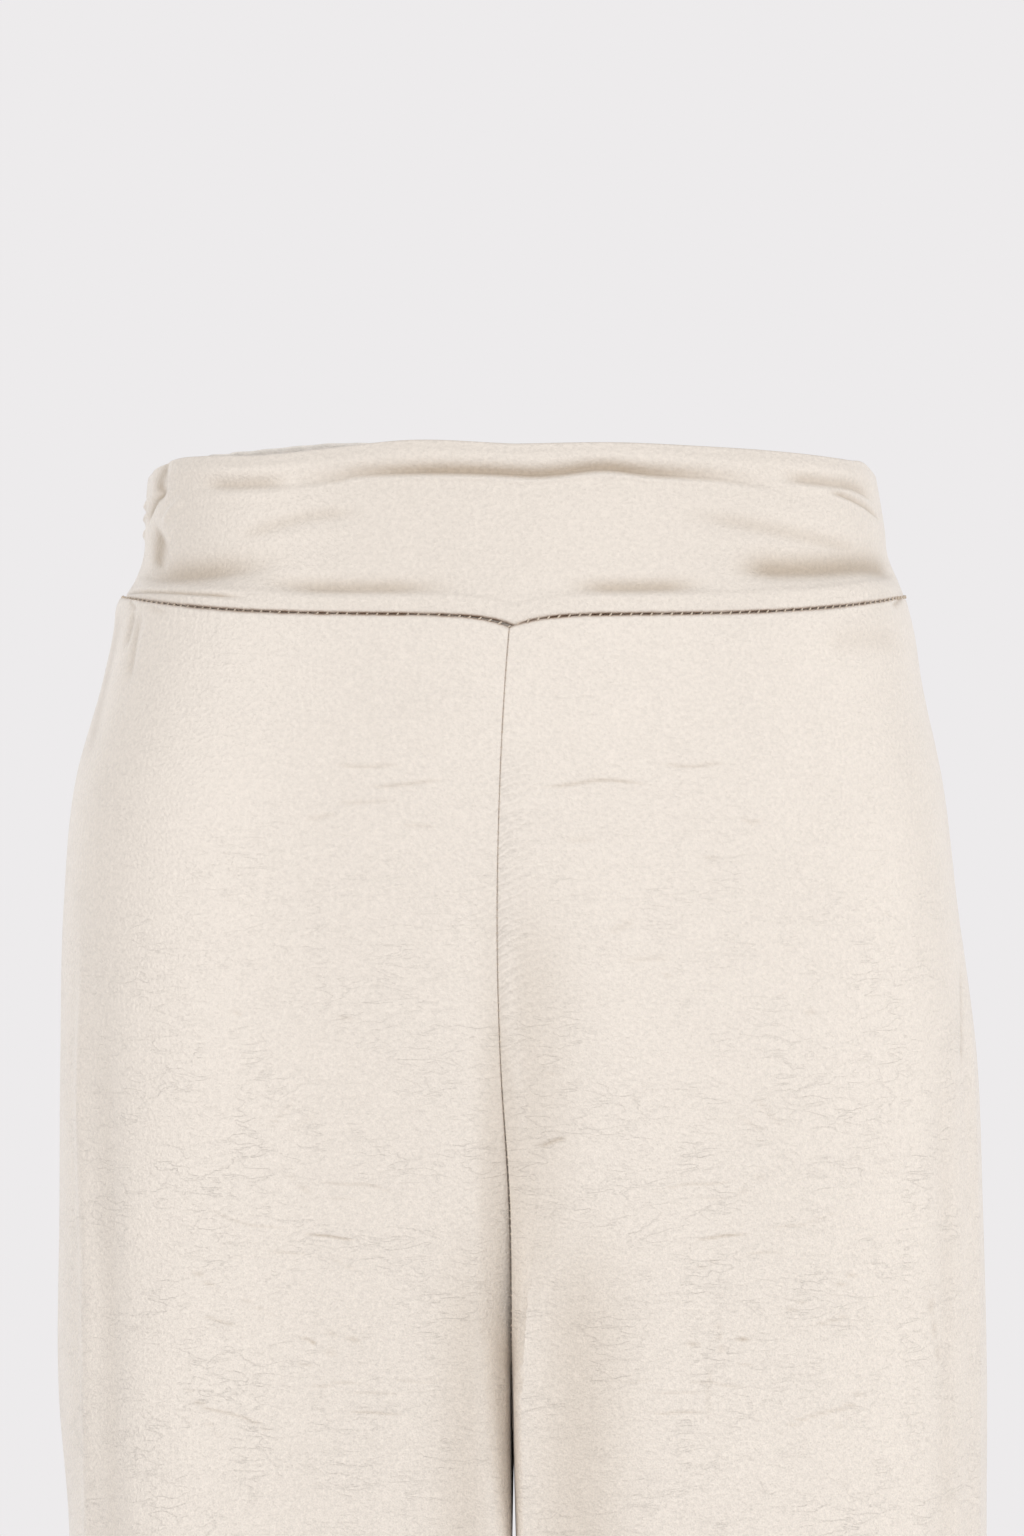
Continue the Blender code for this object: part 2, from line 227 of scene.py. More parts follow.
# How far the centre front seam strays towards +X
Stray = namedtuple("Stray", "fall shift")
CENTRE_STRAYS = (
    Stray(0.054, -0.0008),
    Stray(0.085, -0.0034),
    Stray(0.130, -0.0056),
    Stray(0.180, -0.0062),
    Stray(0.220, -0.0050),
    Stray(0.265, -0.0020),
    Stray(0.340, -0.0010),
    Stray(0.420, 0.0002),
    Stray(1.060, 0.0000),
)

# Falls of the waistband's top edge, by the share across
TopEdge = namedtuple("TopEdge", "share front_left front_right back_left back_right")
TOP_EDGES = (
    TopEdge(0.00, 0.0032, 0.0032, -0.0002, -0.0002),
    TopEdge(0.30, 0.0027, 0.0019, 0.0000, -0.0012),
    TopEdge(0.50, 0.0037, 0.0044, 0.0012, -0.0015),
    TopEdge(0.70, 0.0050, 0.0067, 0.0034, 0.0010),
    TopEdge(0.86, 0.0067, 0.0066, 0.0054, 0.0038),
    TopEdge(0.93, 0.0077, 0.0074, 0.0063, 0.0056),
    TopEdge(0.97, 0.0084, 0.0096, 0.0074, 0.0092),
    TopEdge(1.00, 0.0125, 0.0130, 0.0125, 0.0130),
)

# Long soft folds that deepen towards the hem
Fold = namedtuple("Fold", "half face across start width out")
DRAPE_FOLDS = (
    Fold("left", "front", 0.50, 0.36, 0.060, 0.0042),
    Fold("left", "front", 0.66, 0.48, 0.055, -0.0050),
    Fold("left", "front", 0.82, 0.40, 0.050, 0.0034),
    Fold("right", "front", 0.46, 0.46, 0.065, 0.0036),
    Fold("right", "front", 0.61, 0.38, 0.050, -0.0044),
    Fold("right", "front", 0.80, 0.52, 0.060, 0.0046),
    Fold("left", "back", 0.38, 0.44, 0.070, 0.0040),
    Fold("left", "back", 0.57, 0.38, 0.070, -0.0052),
    Fold("left", "back", 0.78, 0.50, 0.070, 0.0048),
    Fold("right", "back", 0.36, 0.38, 0.070, -0.0038),
    Fold("right", "back", 0.56, 0.46, 0.070, 0.0050),
    Fold("right", "back", 0.77, 0.42, 0.070, -0.0036),
)

# Creases as seen from the front or from behind. path runs through places (x, fall), above and below are the
# half widths of its two sides, out is negative for a trough, shade is the painted shade that darkens its
# colour, and ends is the share of its length over which it dies out. The tables give them in millimetres.
Crease = namedtuple("Crease", "path above below out shade ends")

# A crease throws up a small lip below it: its share of the depth, and how many half widths down it lies
LIP = 0.30
LIP_REACH = 1.8
# How much narrower a crease's painted shade is than its relief
SHADE_POWER = 1.6


def crease(above, below, out, shade, ends, *path):
    """A crease from its row in millimetres."""
    places = tuple((x / 1000, fall / 1000) for x, fall in path)
    return Crease(places, above / 1000, below / 1000, out / 1000, shade, ends)


def even(out, shade, width, *path):
    """A crease that is alike above and below."""
    return crease(width, width, out, shade, 0.3, *path)


def fine(*path):
    """A fine crease of the back."""
    return even(-0.3, 0.25, 1.4, *path)


FRONT_BAND_CREASES = (
    # Under the rolled top
    crease(2.7, 1.3, -2.5, 1, 0.36, (-94, 18.2), (-80, 17.2), (-62, 15), (-54, 13.4), (-29, 12.7),
         (-10, 13.1), (6, 13.9), (16, 13.3), (31, 11.7), (47, 13.3), (60, 14), (73, 14.9), (88, 17.2),
         (102, 19)),
    crease(3.2, 1.8, -1, 0.5, 0.35, (-114, 16.8), (-100, 17.3), (-88, 17), (-74, 16.6)),
    crease(2.6, 1.2, -1.2, 0.55, 0.25, (90, 14.6), (106, 16), (120, 17.8), (128, 22.6)),
    crease(1.4, 0.7, -0.9, 0.6, 0.25, (108, 19.2), (115, 20.4), (123, 23.9), (130, 29)),
    # Above the seam allowance
    crease(6.4, 3.2, -1.8, 0.72, 0.45, (-133, 44), (-129, 48.5), (-120, 49), (-105, 48), (-86, 45.5),
         (-70, 42.5)),
    crease(3.6, 1.8, -1.2, 0.62, 0.4, (-98, 50), (-75, 53.6), (-50, 54.1), (-24, 53.9), (-10, 53.6)),
    crease(3.4, 1.7, -1.2, 0.72, 0.36, (12, 53.8), (37, 54), (55, 53.6), (73, 52.8)),
    crease(6.4, 3.6, -1.5, 0.92, 0.22, (70, 45.5), (90, 47.4), (108, 47), (122, 46), (131, 46.6),
         (135.2, 48)),
    # Soft drags across the middle
    even(-0.6, 0.3, 3.6, (50, 26.2), (80, 31), (108, 36.8), (130, 43)),
    even(-0.5, 0.25, 3, (-102, 37), (-85, 31.8), (-68, 28.2), (-48, 27.2)),
    # The fold just above the seam at the right side
    crease(0.7, 0.6, -0.7, 0.75, 0.18, (-138, 54.4), (-122, 55.3), (-98, 56.8), (-92, 58.2)),
    # The right end, where the seam pulls and the gathers of the back reach round
    even(-1.2, 0.85, 4.8, (-121.5, 8.5), (-124.5, 12.5), (-126.2, 17), (-127.5, 21)),
    even(-1.2, 1, 8, (-124.8, 31), (-126.6, 39), (-129.2, 48)),
    crease(1.4, 2, -1.2, 0.9, 0.3, (-122, 16.5), (-127, 21.5), (-129.5, 27), (-130.5, 33)),
    even(0.9, 0, 1.6, (-116, 21.5), (-121, 25), (-125, 31)),
    even(1, 0, 1.1, (-129, 20.5), (-130.5, 22.2), (-131.8, 24)),
    even(1, 0, 1, (-130, 26.2), (-131.2, 27.5), (-132.2, 29.2)),
    even(0.9, 0, 1.1, (-130.8, 31.8), (-131.6, 33.3), (-132.4, 35)),
)

# Fine creases that lie alike on both front legs, at distances from the line midway between them
MIDWAY = 0.0038
THIGH_CREASES = (
    even(-0.18, 0.3, 0.55, (114.5, 268.4), (109.5, 271.8), (103.9, 274.2), (96.8, 276.5), (88.7, 277.1),
         (79.6, 278.4)),
    even(-0.34, 0.85, 0.55, (78.5, 278.8), (74.3, 279.7), (69.1, 280), (64.9, 280.7), (57.5, 281.7)),
    even(0.18, 0, 0.61, (104.9, 265.8), (100, 262.2), (95.7, 258.3), (89.8, 254.4)),
    even(-0.16, 0.3, 0.61, (91.2, 244.7), (85.2, 237.6), (78.5, 230.2)),
    even(-0.16, 0.2, 0.61, (85.2, 244.9), (78.5, 241), (70.5, 235)),
    even(-0.16, 0.25, 0.61, (85.2, 257.5), (80.3, 260.9), (76.8, 264.1), (73.6, 267.9)),
    even(-0.18, 0.35, 0.55, (76.1, 260.6), (65.6, 261.9), (54.4, 262.1), (49.1, 263.9), (42.5, 266.3)),
    even(-0.16, 0.2, 0.55, (71.5, 266.8), (63.5, 267.1), (57.9, 266)),
    even(-0.18, 0.35, 0.5, (91.2, 285.9), (82.4, 286.1), (75.7, 286.4)),
    even(-0.26, 0.45, 0.61, (118.1, 289.2), (114.5, 294.4), (109.5, 298.5), (105.7, 300.8)),
    even(-0.18, 0.3, 0.61, (101.4, 300.4), (94.7, 304.8), (86.6, 309.2)),
    even(-0.26, 0.45, 0.61, (114.5, 307.7), (107.4, 310.3), (99.3, 312.3)),
    even(-0.38, 0.9, 0.61, (77.5, 315.1), (75, 316.8), (72.2, 318.8)),
    even(-0.26, 0.5, 0.61, (62.4, 313.8), (60, 316.3), (56.1, 319.7)),
    even(-0.16, 0.25, 0.61, (68, 287.4), (63.1, 290.1), (57.5, 292.9)),
    even(0.19, 0, 0.66, (57.5, 297), (51.6, 302.2), (46, 301.8), (40.4, 300.1)),
    even(-0.26, 0.5, 0.61, (122.7, 329.7), (117.7, 334.8), (113.1, 340.3), (105.3, 342.2), (97.9, 344.1),
         (91.2, 347.8), (85.9, 354)),
    even(-0.18, 0.25, 0.61, (113.1, 344.5), (109.6, 347.9), (106, 351.7)),
    even(-0.24, 0.4, 0.55, (79.9, 327), (77.1, 325.2), (73.3, 325.5)),
    even(-0.24, 0.32, 0.6, (78.9, 333.6), (74, 332.7), (69.1, 332.4), (64.5, 331.1), (59, 331.4),
         (54.4, 330.6)),
    even(-0.2, 0.25, 0.6, (50, 331.2), (44, 330.3), (36.9, 331), (29, 330.8), (16.4, 331.6)),
    even(-0.18, 0.3, 0.5, (64.5, 334.8), (54.4, 334.7), (41.1, 335)),
    even(-0.27, 0.5, 0.55, (64.5, 342.1), (56.5, 341.4), (47.4, 342), (41.1, 341.6)),
    even(0.19, 0, 0.61, (114.6, 368.8), (111.4, 372.5), (108.6, 376)),
    even(-0.16, 0.3, 0.83, (67, 305.9), (67.7, 316.3), (69.1, 328.6)),
    even(-0.15, 0.2, 0.83, (64.2, 321.9), (63.8, 333.8), (63.8, 347)),
)

# Creases of one leg piece each
LEG_CREASES = {
    ("left", "front"): (
        even(-0.5, 0.85, 1, (6.3, 249.5), (11.5, 247.7), (15, 246.3), (19.5, 245.3)),
        even(0.3, 0, 1, (5.6, 247.7), (11.5, 246), (16.4, 244.9)),
        even(-0.3, 0.45, 1, (8, 225.1), (12.2, 223.7), (17.1, 222.3)),
        even(-0.34, 0.6, 0.7, (5.2, 123.9), (17.4, 122.9), (29.6, 121.1), (38.3, 121.5), (45.3, 122.5),
             (51.2, 122.9)),
        even(-0.26, 0.45, 0.7, (48.8, 115), (57.5, 116.1), (64.5, 116.1), (76.7, 114.6)),
        even(-0.2, 0.3, 0.9, (78.4, 134.1), (83.7, 135.9), (87.2, 133.5)),
        even(-0.2, 0.3, 0.9, (64.5, 148), (71.5, 148.4)),
        even(-0.18, 0.25, 0.9, (15.7, 141.9), (29.6, 141.9)),
        even(-0.22, 0.35, 0.9, (31.4, 175.3), (40.1, 170.8), (43.6, 169.4)),
        even(-0.2, 0.25, 0.9, (34.9, 184.8), (47.1, 183.4), (57.5, 183)),
        even(-0.22, 0.35, 0.9, (51.2, 188.6), (55.8, 190.4)),
        even(-0.22, 0.4, 0.9, (101, 203.2), (106.5, 201.4)),
        # The rim of the valley at the crotch
        even(0.5, 0, 1, (4.6, 290), (4, 305), (3.2, 330), (3, 345)),
        # The hollow beside the centre seam
        crease(18, 6, -1.2, 0.3, 0.3, (3, 135), (3, 190), (5, 250), (6, 310), (7, 345)),
        even(-0.6, 0.42, 20, (18, 245), (21, 285), (22, 330), (21.5, 380), (20, 480)),
        # Where the waist seam pulls at the side
        even(-0.5, 0.08, 1.6, (110, 64.4), (117.2, 63.3), (124.5, 61.4), (132.8, 58.7)),
        even(-0.4, 0.08, 1.4, (116.1, 66.5), (123.8, 64.6), (130.5, 62)),
        even(-0.6, 0.2, 6.5, (104, 76), (115, 72.2), (128.9, 70.9), (139, 74.5)),
        even(-0.7, 0.8, 1, (138.1, 55.5), (135.9, 57.9), (132.8, 60.1)),
        # Folds down the side
        crease(3.5, 6, 1.2, 0, 0.25, (159.4, 174.6), (161.2, 199.3), (162.7, 234.7), (164, 280.8),
             (164.3, 341), (163.9, 387.1), (164, 470)),
        even(-0.8, 0.12, 7, (148.8, 184.6), (151.1, 234), (152.9, 287), (152.8, 339.9), (152.1, 385.8),
             (153, 470)),
        even(-0.4, 0.5, 1.4, (158.2, 181.5), (158.3, 195.6), (158.4, 213.2), (157.9, 230.8)),
        even(-0.4, 0.35, 1.4, (144.8, 292.9), (147.3, 310.3), (149.2, 322.7), (150.3, 333.4)),
        # Down from the crotch
        even(0.9, 0, 1.9, (11.5, 362), (11.4, 385), (11, 420), (11.2, 460)),
        even(-0.8, 0.1, 4.5, (27, 355), (28, 385), (28.5, 440), (30, 520)),
        # Lower leg
        even(-1.3, 0.1, 9, (50, 590), (85, 612), (120, 650), (142, 690)),
        even(-1.1, 0.1, 8.5, (35, 660), (62, 672), (98, 705)),
        even(1.2, 0, 9, (60, 860), (86, 890), (122, 908), (148, 912)),
    ),
    ("right", "front"): (
        even(-0.3, 0.45, 0.7, (-54.1, 123.6), (-41.9, 122.8), (-29.7, 121.3), (-22.7, 120.6)),
        even(-0.26, 0.45, 0.7, (-66.3, 115.5), (-57.5, 116.1), (-48, 116.1), (-38.4, 115.2)),
        even(-0.2, 0.3, 0.9, (-75, 135.2), (-69.7, 134.1), (-61, 132.3)),
        even(-0.2, 0.25, 0.9, (-64.5, 129.2), (-40.1, 128.1)),
        even(-0.18, 0.25, 0.9, (-40.1, 136.8), (-26.2, 137.2)),
        even(-0.22, 0.4, 0.9, (-99.5, 201.4), (-95.5, 203)),
        even(-0.2, 0.3, 0.9, (-62.7, 204.3), (-55.8, 203.9)),
        # The hollow beside the centre seam
        crease(13, 6, -0.8, 0.22, 0.4, (-3, 200), (-4, 250), (-6, 300), (-8, 360)),
        even(-0.5, 0.36, 14, (-13, 245), (-15, 285), (-16.5, 330), (-17, 380), (-18, 480)),
        # Where the waist seam pulls at the side
        even(-0.8, 0.45, 3, (-133.2, 60), (-132.8, 64), (-134.5, 71.5), (-137.2, 89.2)),
        even(-0.6, 0.55, 1.1, (-137.3, 57.2), (-135.7, 59), (-133.4, 62)),
        even(-0.4, 0.3, 1.1, (-130.4, 58.8), (-126.7, 61), (-121.6, 62.9)),
        even(-0.8, 0.6, 2.6, (-134.5, 59), (-136, 66), (-138.5, 76)),
        even(-0.4, 0.45, 9.5, (-137.5, 52), (-142.2, 70), (-145.5, 85), (-149, 100), (-153.5, 124)),
        # Folds down the side
        crease(3, 5.5, 1.2, 0, 0.22, (-153.3, 163.5), (-153.6, 198.9), (-154.3, 234.3), (-153.2, 269.6),
             (-152, 304.9), (-151.7, 347.3), (-151.2, 386.5), (-152, 470)),
        even(-0.8, 0.12, 7, (-142.1, 163.3), (-144.2, 198.6), (-144.9, 233.9), (-144.2, 269.1),
             (-143.1, 321.9), (-142.2, 385.6), (-143, 470)),
        # Down from the crotch
        even(-0.8, 0.1, 5, (-19, 360), (-18.6, 390), (-19, 450), (-21, 540)),
        # Lower leg
        even(-1.2, 0.1, 8.5, (-42, 575), (-80, 605), (-115, 624)),
        even(-1.2, 0.1, 9.5, (-65, 655), (-100, 680), (-133, 725)),
        even(1.1, 0, 8.5, (-40, 830), (-75, 848), (-106, 856)),
        even(-1, 0.08, 8, (-90, 935), (-115, 942), (-142, 933)),
    ),
    ("left", "back"): (
        # Under the seat
        even(-1.5, 0.08, 5.5, (30, 296), (60, 285), (95, 283), (124, 290)),
        even(-1, 0.08, 3.8, (20, 324), (52, 314), (88, 317)),
        even(1, 0, 5, (11, 302), (30, 272), (62, 250)),
        # Fine ones
        fine((70, 142), (85, 147), (104, 145)),
        fine((40, 196), (58, 192), (71, 196)),
        fine((95, 215), (106, 226), (112, 238)),
        fine((50, 352), (75, 350), (103, 356)),
        fine((112, 330), (124, 341), (131, 356)),
        fine((30, 374), (46, 377), (60, 374)),
        # Folds down the side
        even(1.1, 0, 5, (150, 190), (154, 260), (156, 360), (157, 480)),
        # Lower leg
        even(-1.5, 0.1, 9, (35, 555), (70, 570), (110, 565), (140, 550)),
        even(-1.2, 0.1, 8.5, (50, 615), (85, 633), (125, 630)),
        even(-1.1, 0.08, 9, (70, 900), (105, 918), (140, 920)),
    ),
    ("right", "back"): (
        # Under the seat
        even(-1.3, 0.08, 5, (-26, 308), (-60, 293), (-100, 295)),
        even(-1.3, 0.08, 4.5, (-70, 274), (-100, 269), (-130, 276)),
        even(1.1, 0, 5, (-10, 312), (-26, 286), (-50, 268)),
        # Fine ones
        fine((-45, 150), (-62, 153), (-76, 150)),
        fine((-100, 178), (-108, 188), (-120, 196)),
        fine((-30, 342), (-56, 340), (-82, 344)),
        fine((-84, 364), (-102, 361), (-120, 367)),
        fine((-118, 318), (-128, 329), (-136, 340)),
        # Folds down the side
        even(1.1, 0, 5, (-145, 210), (-148, 280), (-147, 370), (-148, 470)),
        # Lower leg
        even(-1.4, 0.1, 9, (-50, 580), (-90, 598), (-130, 592)),
        even(-1.2, 0.1, 8.5, (-35, 635), (-68, 645), (-102, 670)),
        even(1.1, 0, 9, (-50, 870), (-85, 885), (-120, 882)),
    ),
}


def read(rows, key, name, at):
    """One column of a table at these places, on a smooth curve through its rows."""
    known = np.array([getattr(row, key) for row in rows])
    values = np.array([getattr(row, name) for row in rows])
    slopes = np.gradient(values, known)
    at = np.clip(at, known[0], known[-1])
    row = np.clip(np.searchsorted(known, at, side="right") - 1, 0, len(known) - 2)
    span = known[row + 1] - known[row]
    part = (at - known[row]) / span
    start = (1 + 2 * part) * (1 - part) ** 2 * values[row] + part * (1 - part) ** 2 * span * slopes[row]
    end = part**2 * (3 - 2 * part) * values[row + 1] - part**2 * (1 - part) * span * slopes[row + 1]
    return start + end


def eased(part):
    """0 to 1 with a level start and end."""
    part = np.clip(part, 0, 1)
    return part**2 * (3 - 2 * part)


def rounded(share, power):
    """The depth of an oval, as a share of its most, at a share of its half width."""
    return np.maximum(1 - share**power, 0) ** (1 / power)


def leg_section(across, inner_power):
    """Over and out at this share of the way round a leg's section, from the inseam to the side seam."""
    quarter = np.linspace(0, 1, 400)
    rise, fall_away = (0.5 ** (1 / power) * quarter for power in (inner_power, LEG_OUTER_POWER))
    inner, outer = rounded(rise, inner_power), rounded(fall_away, LEG_OUTER_POWER)
    over = np.concatenate([inner, rise[::-1], -fall_away, -outer[::-1]])
    out = np.concatenate([rise, inner[::-1], outer, fall_away[::-1]])
    steps = np.hypot(np.diff(over), LEG_GIRTH_RATIO * np.diff(out))
    travelled = np.concatenate([[0], np.cumsum(steps)])
    return [np.interp(across, travelled / travelled[-1], side) for side in (over, out)]


def cornered_section(half, face, across, fall):
    """A leg's section, with the front's inner corner filled out where the legs part."""
    section = leg_section(across, half.inner_power)
    if face == "back":
        return section
    filled = eased((fall - CORNER_START) / CORNER_GROWTH) * eased((CORNER_END - fall) / CORNER_FADE)
    corner = leg_section(across, half.corner_power)
    return [plain + filled * (full - plain) for plain, full in zip(section, corner)]


def trunk_share(across):
    """Columns spread evenly round the trunk's oval, as shares of its half width."""
    return np.sin(np.clip(across, 0, 1) * math.pi / 2)


def leg_blend(across, fall):
    """0 where the section is the trunk's and 1 where it is the leg's.

    At the centre seam it follows a quarter ellipse, the curve of the crotch seam. Further out it eases in.
    """
    down = fall - FORK_FALL
    turn = np.clip(down / (CROTCH_FALL - FORK_FALL), 0, 1)
    crotch_curve = 1 - np.sqrt(1 - turn**2)
    nearness = np.clip(1 - across / INNER_SHARE, 0, 1) ** 2
    return nearness * crotch_curve + (1 - nearness) * eased(down / BLEND_LENGTH)


def valley_at(half, away, fall):
    """How deep the valley beside the centre seam is here, and how near its middle: 0 at its edge, 1 in it."""
    width = read(VALLEYS, "fall", half.name + "_width", fall)
    depth = read(VALLEYS, "fall", half.name + "_depth", fall)
    nearness = np.maximum(1 - away / width, 0)
    return depth * nearness**1.15, nearness


def leg_point(half, face, across, fall):
    """A point on the smooth outside of a half of the trousers, before folds."""
    edge = SEAM_GAP / 2
    width = read(LEG_SECTIONS, "fall", half.name, fall)
    depth = read(LEG_SECTIONS, "fall", face, fall)
    space = read(LEG_SPACES, "fall", "half", fall)
    blend = leg_blend(across, fall)
    cosine, sine = cornered_section(half, face, across, fall)
    leg_share = (1 - cosine) / 2
    spread = half.valley + (1 - half.valley) * eased((FORK_FALL - fall) / SPREAD_RISE)
    share = leg_share + spread * (trunk_share(across) - leg_share)
    trunk_x = edge + (width - edge) * share
    leg_x = space + (width - space) * leg_share
    bulge = (1 - blend) * rounded(share, TRUNK_POWER) + blend * sine
    x = half.sign * ((1 - blend) * trunk_x + blend * leg_x)
    if face == "front":
        bulge = bulge * (1 - valley_at(half, np.abs(x), fall)[0] / depth)
    y = FACES[face] * (edge + (depth - edge) * bulge)
    return np.stack([x, y, -fall + 0 * x], axis=-1)


def band_point(half, face, across, fall):
    """A point on the smooth outside of the waistband."""
    edge = SEAM_GAP / 2
    width = read(BAND_SECTIONS, "fall", half.name, fall)
    depth = read(BAND_SECTIONS, "fall", face, fall)
    share = trunk_share(across)
    y = FACES[face] * (edge + (depth - edge) * rounded(share, TRUNK_POWER))
    return np.stack([half.sign * width * share, y, -fall + 0 * y], axis=-1)


def outward(point, half, face, across, fall):
    """Unit normals of a surface, from small steps across it and down it."""
    step = 1e-3
    over = point(half, face, np.minimum(across + step, 1), fall)
    over -= point(half, face, np.maximum(across - step, 0), fall)
    down = point(half, face, across, fall + step) - point(half, face, across, fall - step)
    normal = half.sign * FACES[face] * np.cross(over, down)
    return normal / np.linalg.norm(normal, axis=-1, keepdims=True)


def seam_fall(face, across):
    """The fall of the seam under the waistband, with the front's point at the centre."""
    share = trunk_share(across)
    centre = SEAM_FRONT_FALL if face == "front" else SEAM_BACK_FALL
    fall = centre + (SEAM_SIDE_FALL - centre) * share**4
    if face == "front":
        x = share * read(BAND_SECTIONS, "fall", "left", centre)
        fall = fall + POINT_DROP * np.exp(-x / POINT_REACH)
    return fall


def gathers(half, across):
    """Waves of the gathered back, which die out just before the side seam."""
    depth = 0.75 + 0.25 * np.sin(half.unevenness * across)
    return depth * np.cos(2 * math.pi * GATHERS_EACH_SIDE * across) * eased((1 - across) / GATHER_END)


def leg_folds(half, face, across, fall):
    """How far the large folds and the gathers stand out from the smooth outside of a leg piece."""
    relief = np.zeros(across.shape)
    for fold in DRAPE_FOLDS:
        if (fold.half, fold.face) == (half.name, face):
            growth = eased((fall - fold.start) / (HEM_FALL - fold.start))
            relief += fold.out * growth * np.exp(-(((across - fold.across) / fold.width) ** 2))
    if face == "back":
        fade = eased(1 - (fall - seam_fall(face, across)) / GATHER_FADE)
        relief += LEG_GATHER_DEPTH * fade * gathers(half, across)
    return relief


def turned(distance, radius):
    """How far a turned edge drops at this distance from it."""
    inside = np.clip(radius - distance, 0, radius)
    return radius - np.sqrt(np.maximum(radius**2 - inside**2, 0))


def waist_ditch(dark, distance):
    """How far the cloth drops into the seam under the band: most where the seam is darkest."""
    return (0.4 + 0.6 * dark) * turned(distance, WAIST_TURN)


def spaced(length, pitch, fine_start=True, fine_end=True):
    """Places from 0 to a length, close together at the edges that are turned."""
    start = EDGE_STEPS if fine_start else np.zeros(1)
    end = length - (EDGE_STEPS[::-1] if fine_end else np.zeros(1))
    middle = np.linspace(start[-1], end[0], max(int(round((end[0] - start[-1]) / pitch)), 1) + 1)
    return np.concatenate([start, middle[1:-1], end])


def made_odd(places):
    """An odd number of places, so that the inner side of a shell can take every second one."""
    if len(places) % 2:
        return places
    middle = len(places) // 2
    return np.insert(places, middle, (places[middle - 1] + places[middle]) / 2)


# A grid of points on a piece of cloth: girth is the distance from the centre or inseam, and side_girth
# the distance left to the side seam
Grid = namedtuple("Grid", "across fall base normal girth side_girth")


def measured_grid(half, face, point, across, fall):
    """The grid of one half's points, with their normals and distances."""
    across = np.broadcast_to(across, fall.shape)
    base = point(half, face, across, fall)
    normal = outward(point, half, face, across, fall)
    steps = np.linalg.norm(np.diff(base, axis=1), axis=-1)
    girth = np.concatenate([np.zeros((len(base), 1)), np.cumsum(steps, axis=1)], axis=1)
    return Grid(across, fall, base, normal, girth, girth[:, -1:] - girth)


def leg_grid(half, face):
    """The grid of a leg piece, from the waist seam to the hem."""
    across = made_odd(spaced(PANEL_WIDTH, LEG_COLUMN_PITCHES[face])) / PANEL_WIDTH
    seam = seam_fall(face, across) + SEAM_GAP / 2
    rows = leg_rows(face)
    trunk = np.minimum((rows - SEAM_SIDE_FALL) / (FORK_FALL - SEAM_SIDE_FALL), 1)[:, None]
    falls = seam + (FORK_FALL - seam) * trunk + np.maximum(rows - FORK_FALL, 0)[:, None]
    return measured_grid(half, face, leg_point, across, falls)


def leg_rows(face):
    """Falls of a leg piece's rows at the side, from the waist seam to the hem."""
    first, last = SEAM_SIDE_FALL + EDGE_STEPS[-1], HEM_FALL - EDGE_STEPS[-1]
    places = np.linspace(first, last, 8001)
    pitches = np.interp(places, *zip(*((row.fall, getattr(row, face)) for row in ROW_PITCHES)))
    count = np.concatenate([[0], np.cumsum((places[1] - places[0]) / pitches[1:])])
    middle = np.interp(np.linspace(0, count[-1], 2 * int(count[-1] / 2) + 1), count, places)
    return np.concatenate([SEAM_SIDE_FALL + EDGE_STEPS, middle[1:-1], HEM_FALL - EDGE_STEPS[::-1]])


def band_grids(face):
    """The grids of the two halves of a band, from the top edge to the seam."""
    across = spaced(BAND_WIDTH, BAND_COLUMN_PITCH, fine_start=False) / BAND_WIDTH
    height = SEAM_FRONT_FALL
    steps = made_odd(spaced(height, BAND_ROW_PITCH))[:, None] / height
    grids = []
    for half in (LEFT, RIGHT):
        top = read(TOP_EDGES, "share", f"{face}_{half.name}", trunk_share(across))
        fall = top + (seam_fall(face, across) - SEAM_GAP / 2 - top) * steps
        grids.append(measured_grid(half, face, band_point, across, fall))
    return grids


def girth_of(half, face, point, x, fall):
    """How far round a piece x lies at this fall: from the centre or inseam, and from the side seam."""
    across = np.linspace(0, 1, 201)
    line = point(half, face, across, np.full(across.shape, fall))
    girth = np.concatenate([[0], np.cumsum(np.linalg.norm(np.diff(line, axis=0), axis=1))])
    at = np.interp(abs(x), np.abs(line[:, 0]), girth)
    return at, girth[-1] - at


def smooth_path(places, samples=5):
    """A smooth line through places."""
    known = np.arange(len(places))
    slopes = np.gradient(places, axis=0)
    at = np.linspace(0, known[-1], samples * known[-1] + 1)
    row = np.minimum(at.astype(int), known[-1] - 1)
    part = (at - row)[:, None]
    start = (1 + 2 * part) * (1 - part) ** 2 * places[row] + part * (1 - part) ** 2 * slopes[row]
    end = part**2 * (3 - 2 * part) * places[row + 1] - part**2 * (1 - part) * slopes[row + 1]
    return start + end


def nearest_on(path, over, down):
    """For points of a piece, how far along a path they lie, and how far above (+) or below (-) it."""
    starts, ends = path[:-1], path[1:]
    runs = ends - starts
    lengths = np.linalg.norm(runs, axis=1)
    before = np.concatenate([[0], np.cumsum(lengths)[:-1]])
    off_over = over[:, None] - starts[:, 0]
    off_down = down[:, None] - starts[:, 1]
    part = np.clip((off_over * runs[:, 0] + off_down * runs[:, 1]) / lengths**2, 0, 1)
    distance = np.hypot(off_over - part * runs[:, 0], off_down - part * runs[:, 1])
    side = np.sign(off_down * runs[:, 0] - off_over * runs[:, 1])
    nearest = np.argmin(distance, axis=1)
    pick = np.arange(len(over)), nearest
    along = (before[nearest] + part[pick] * lengths[nearest]) / lengths.sum()
    return along, -side[pick] * distance[pick]


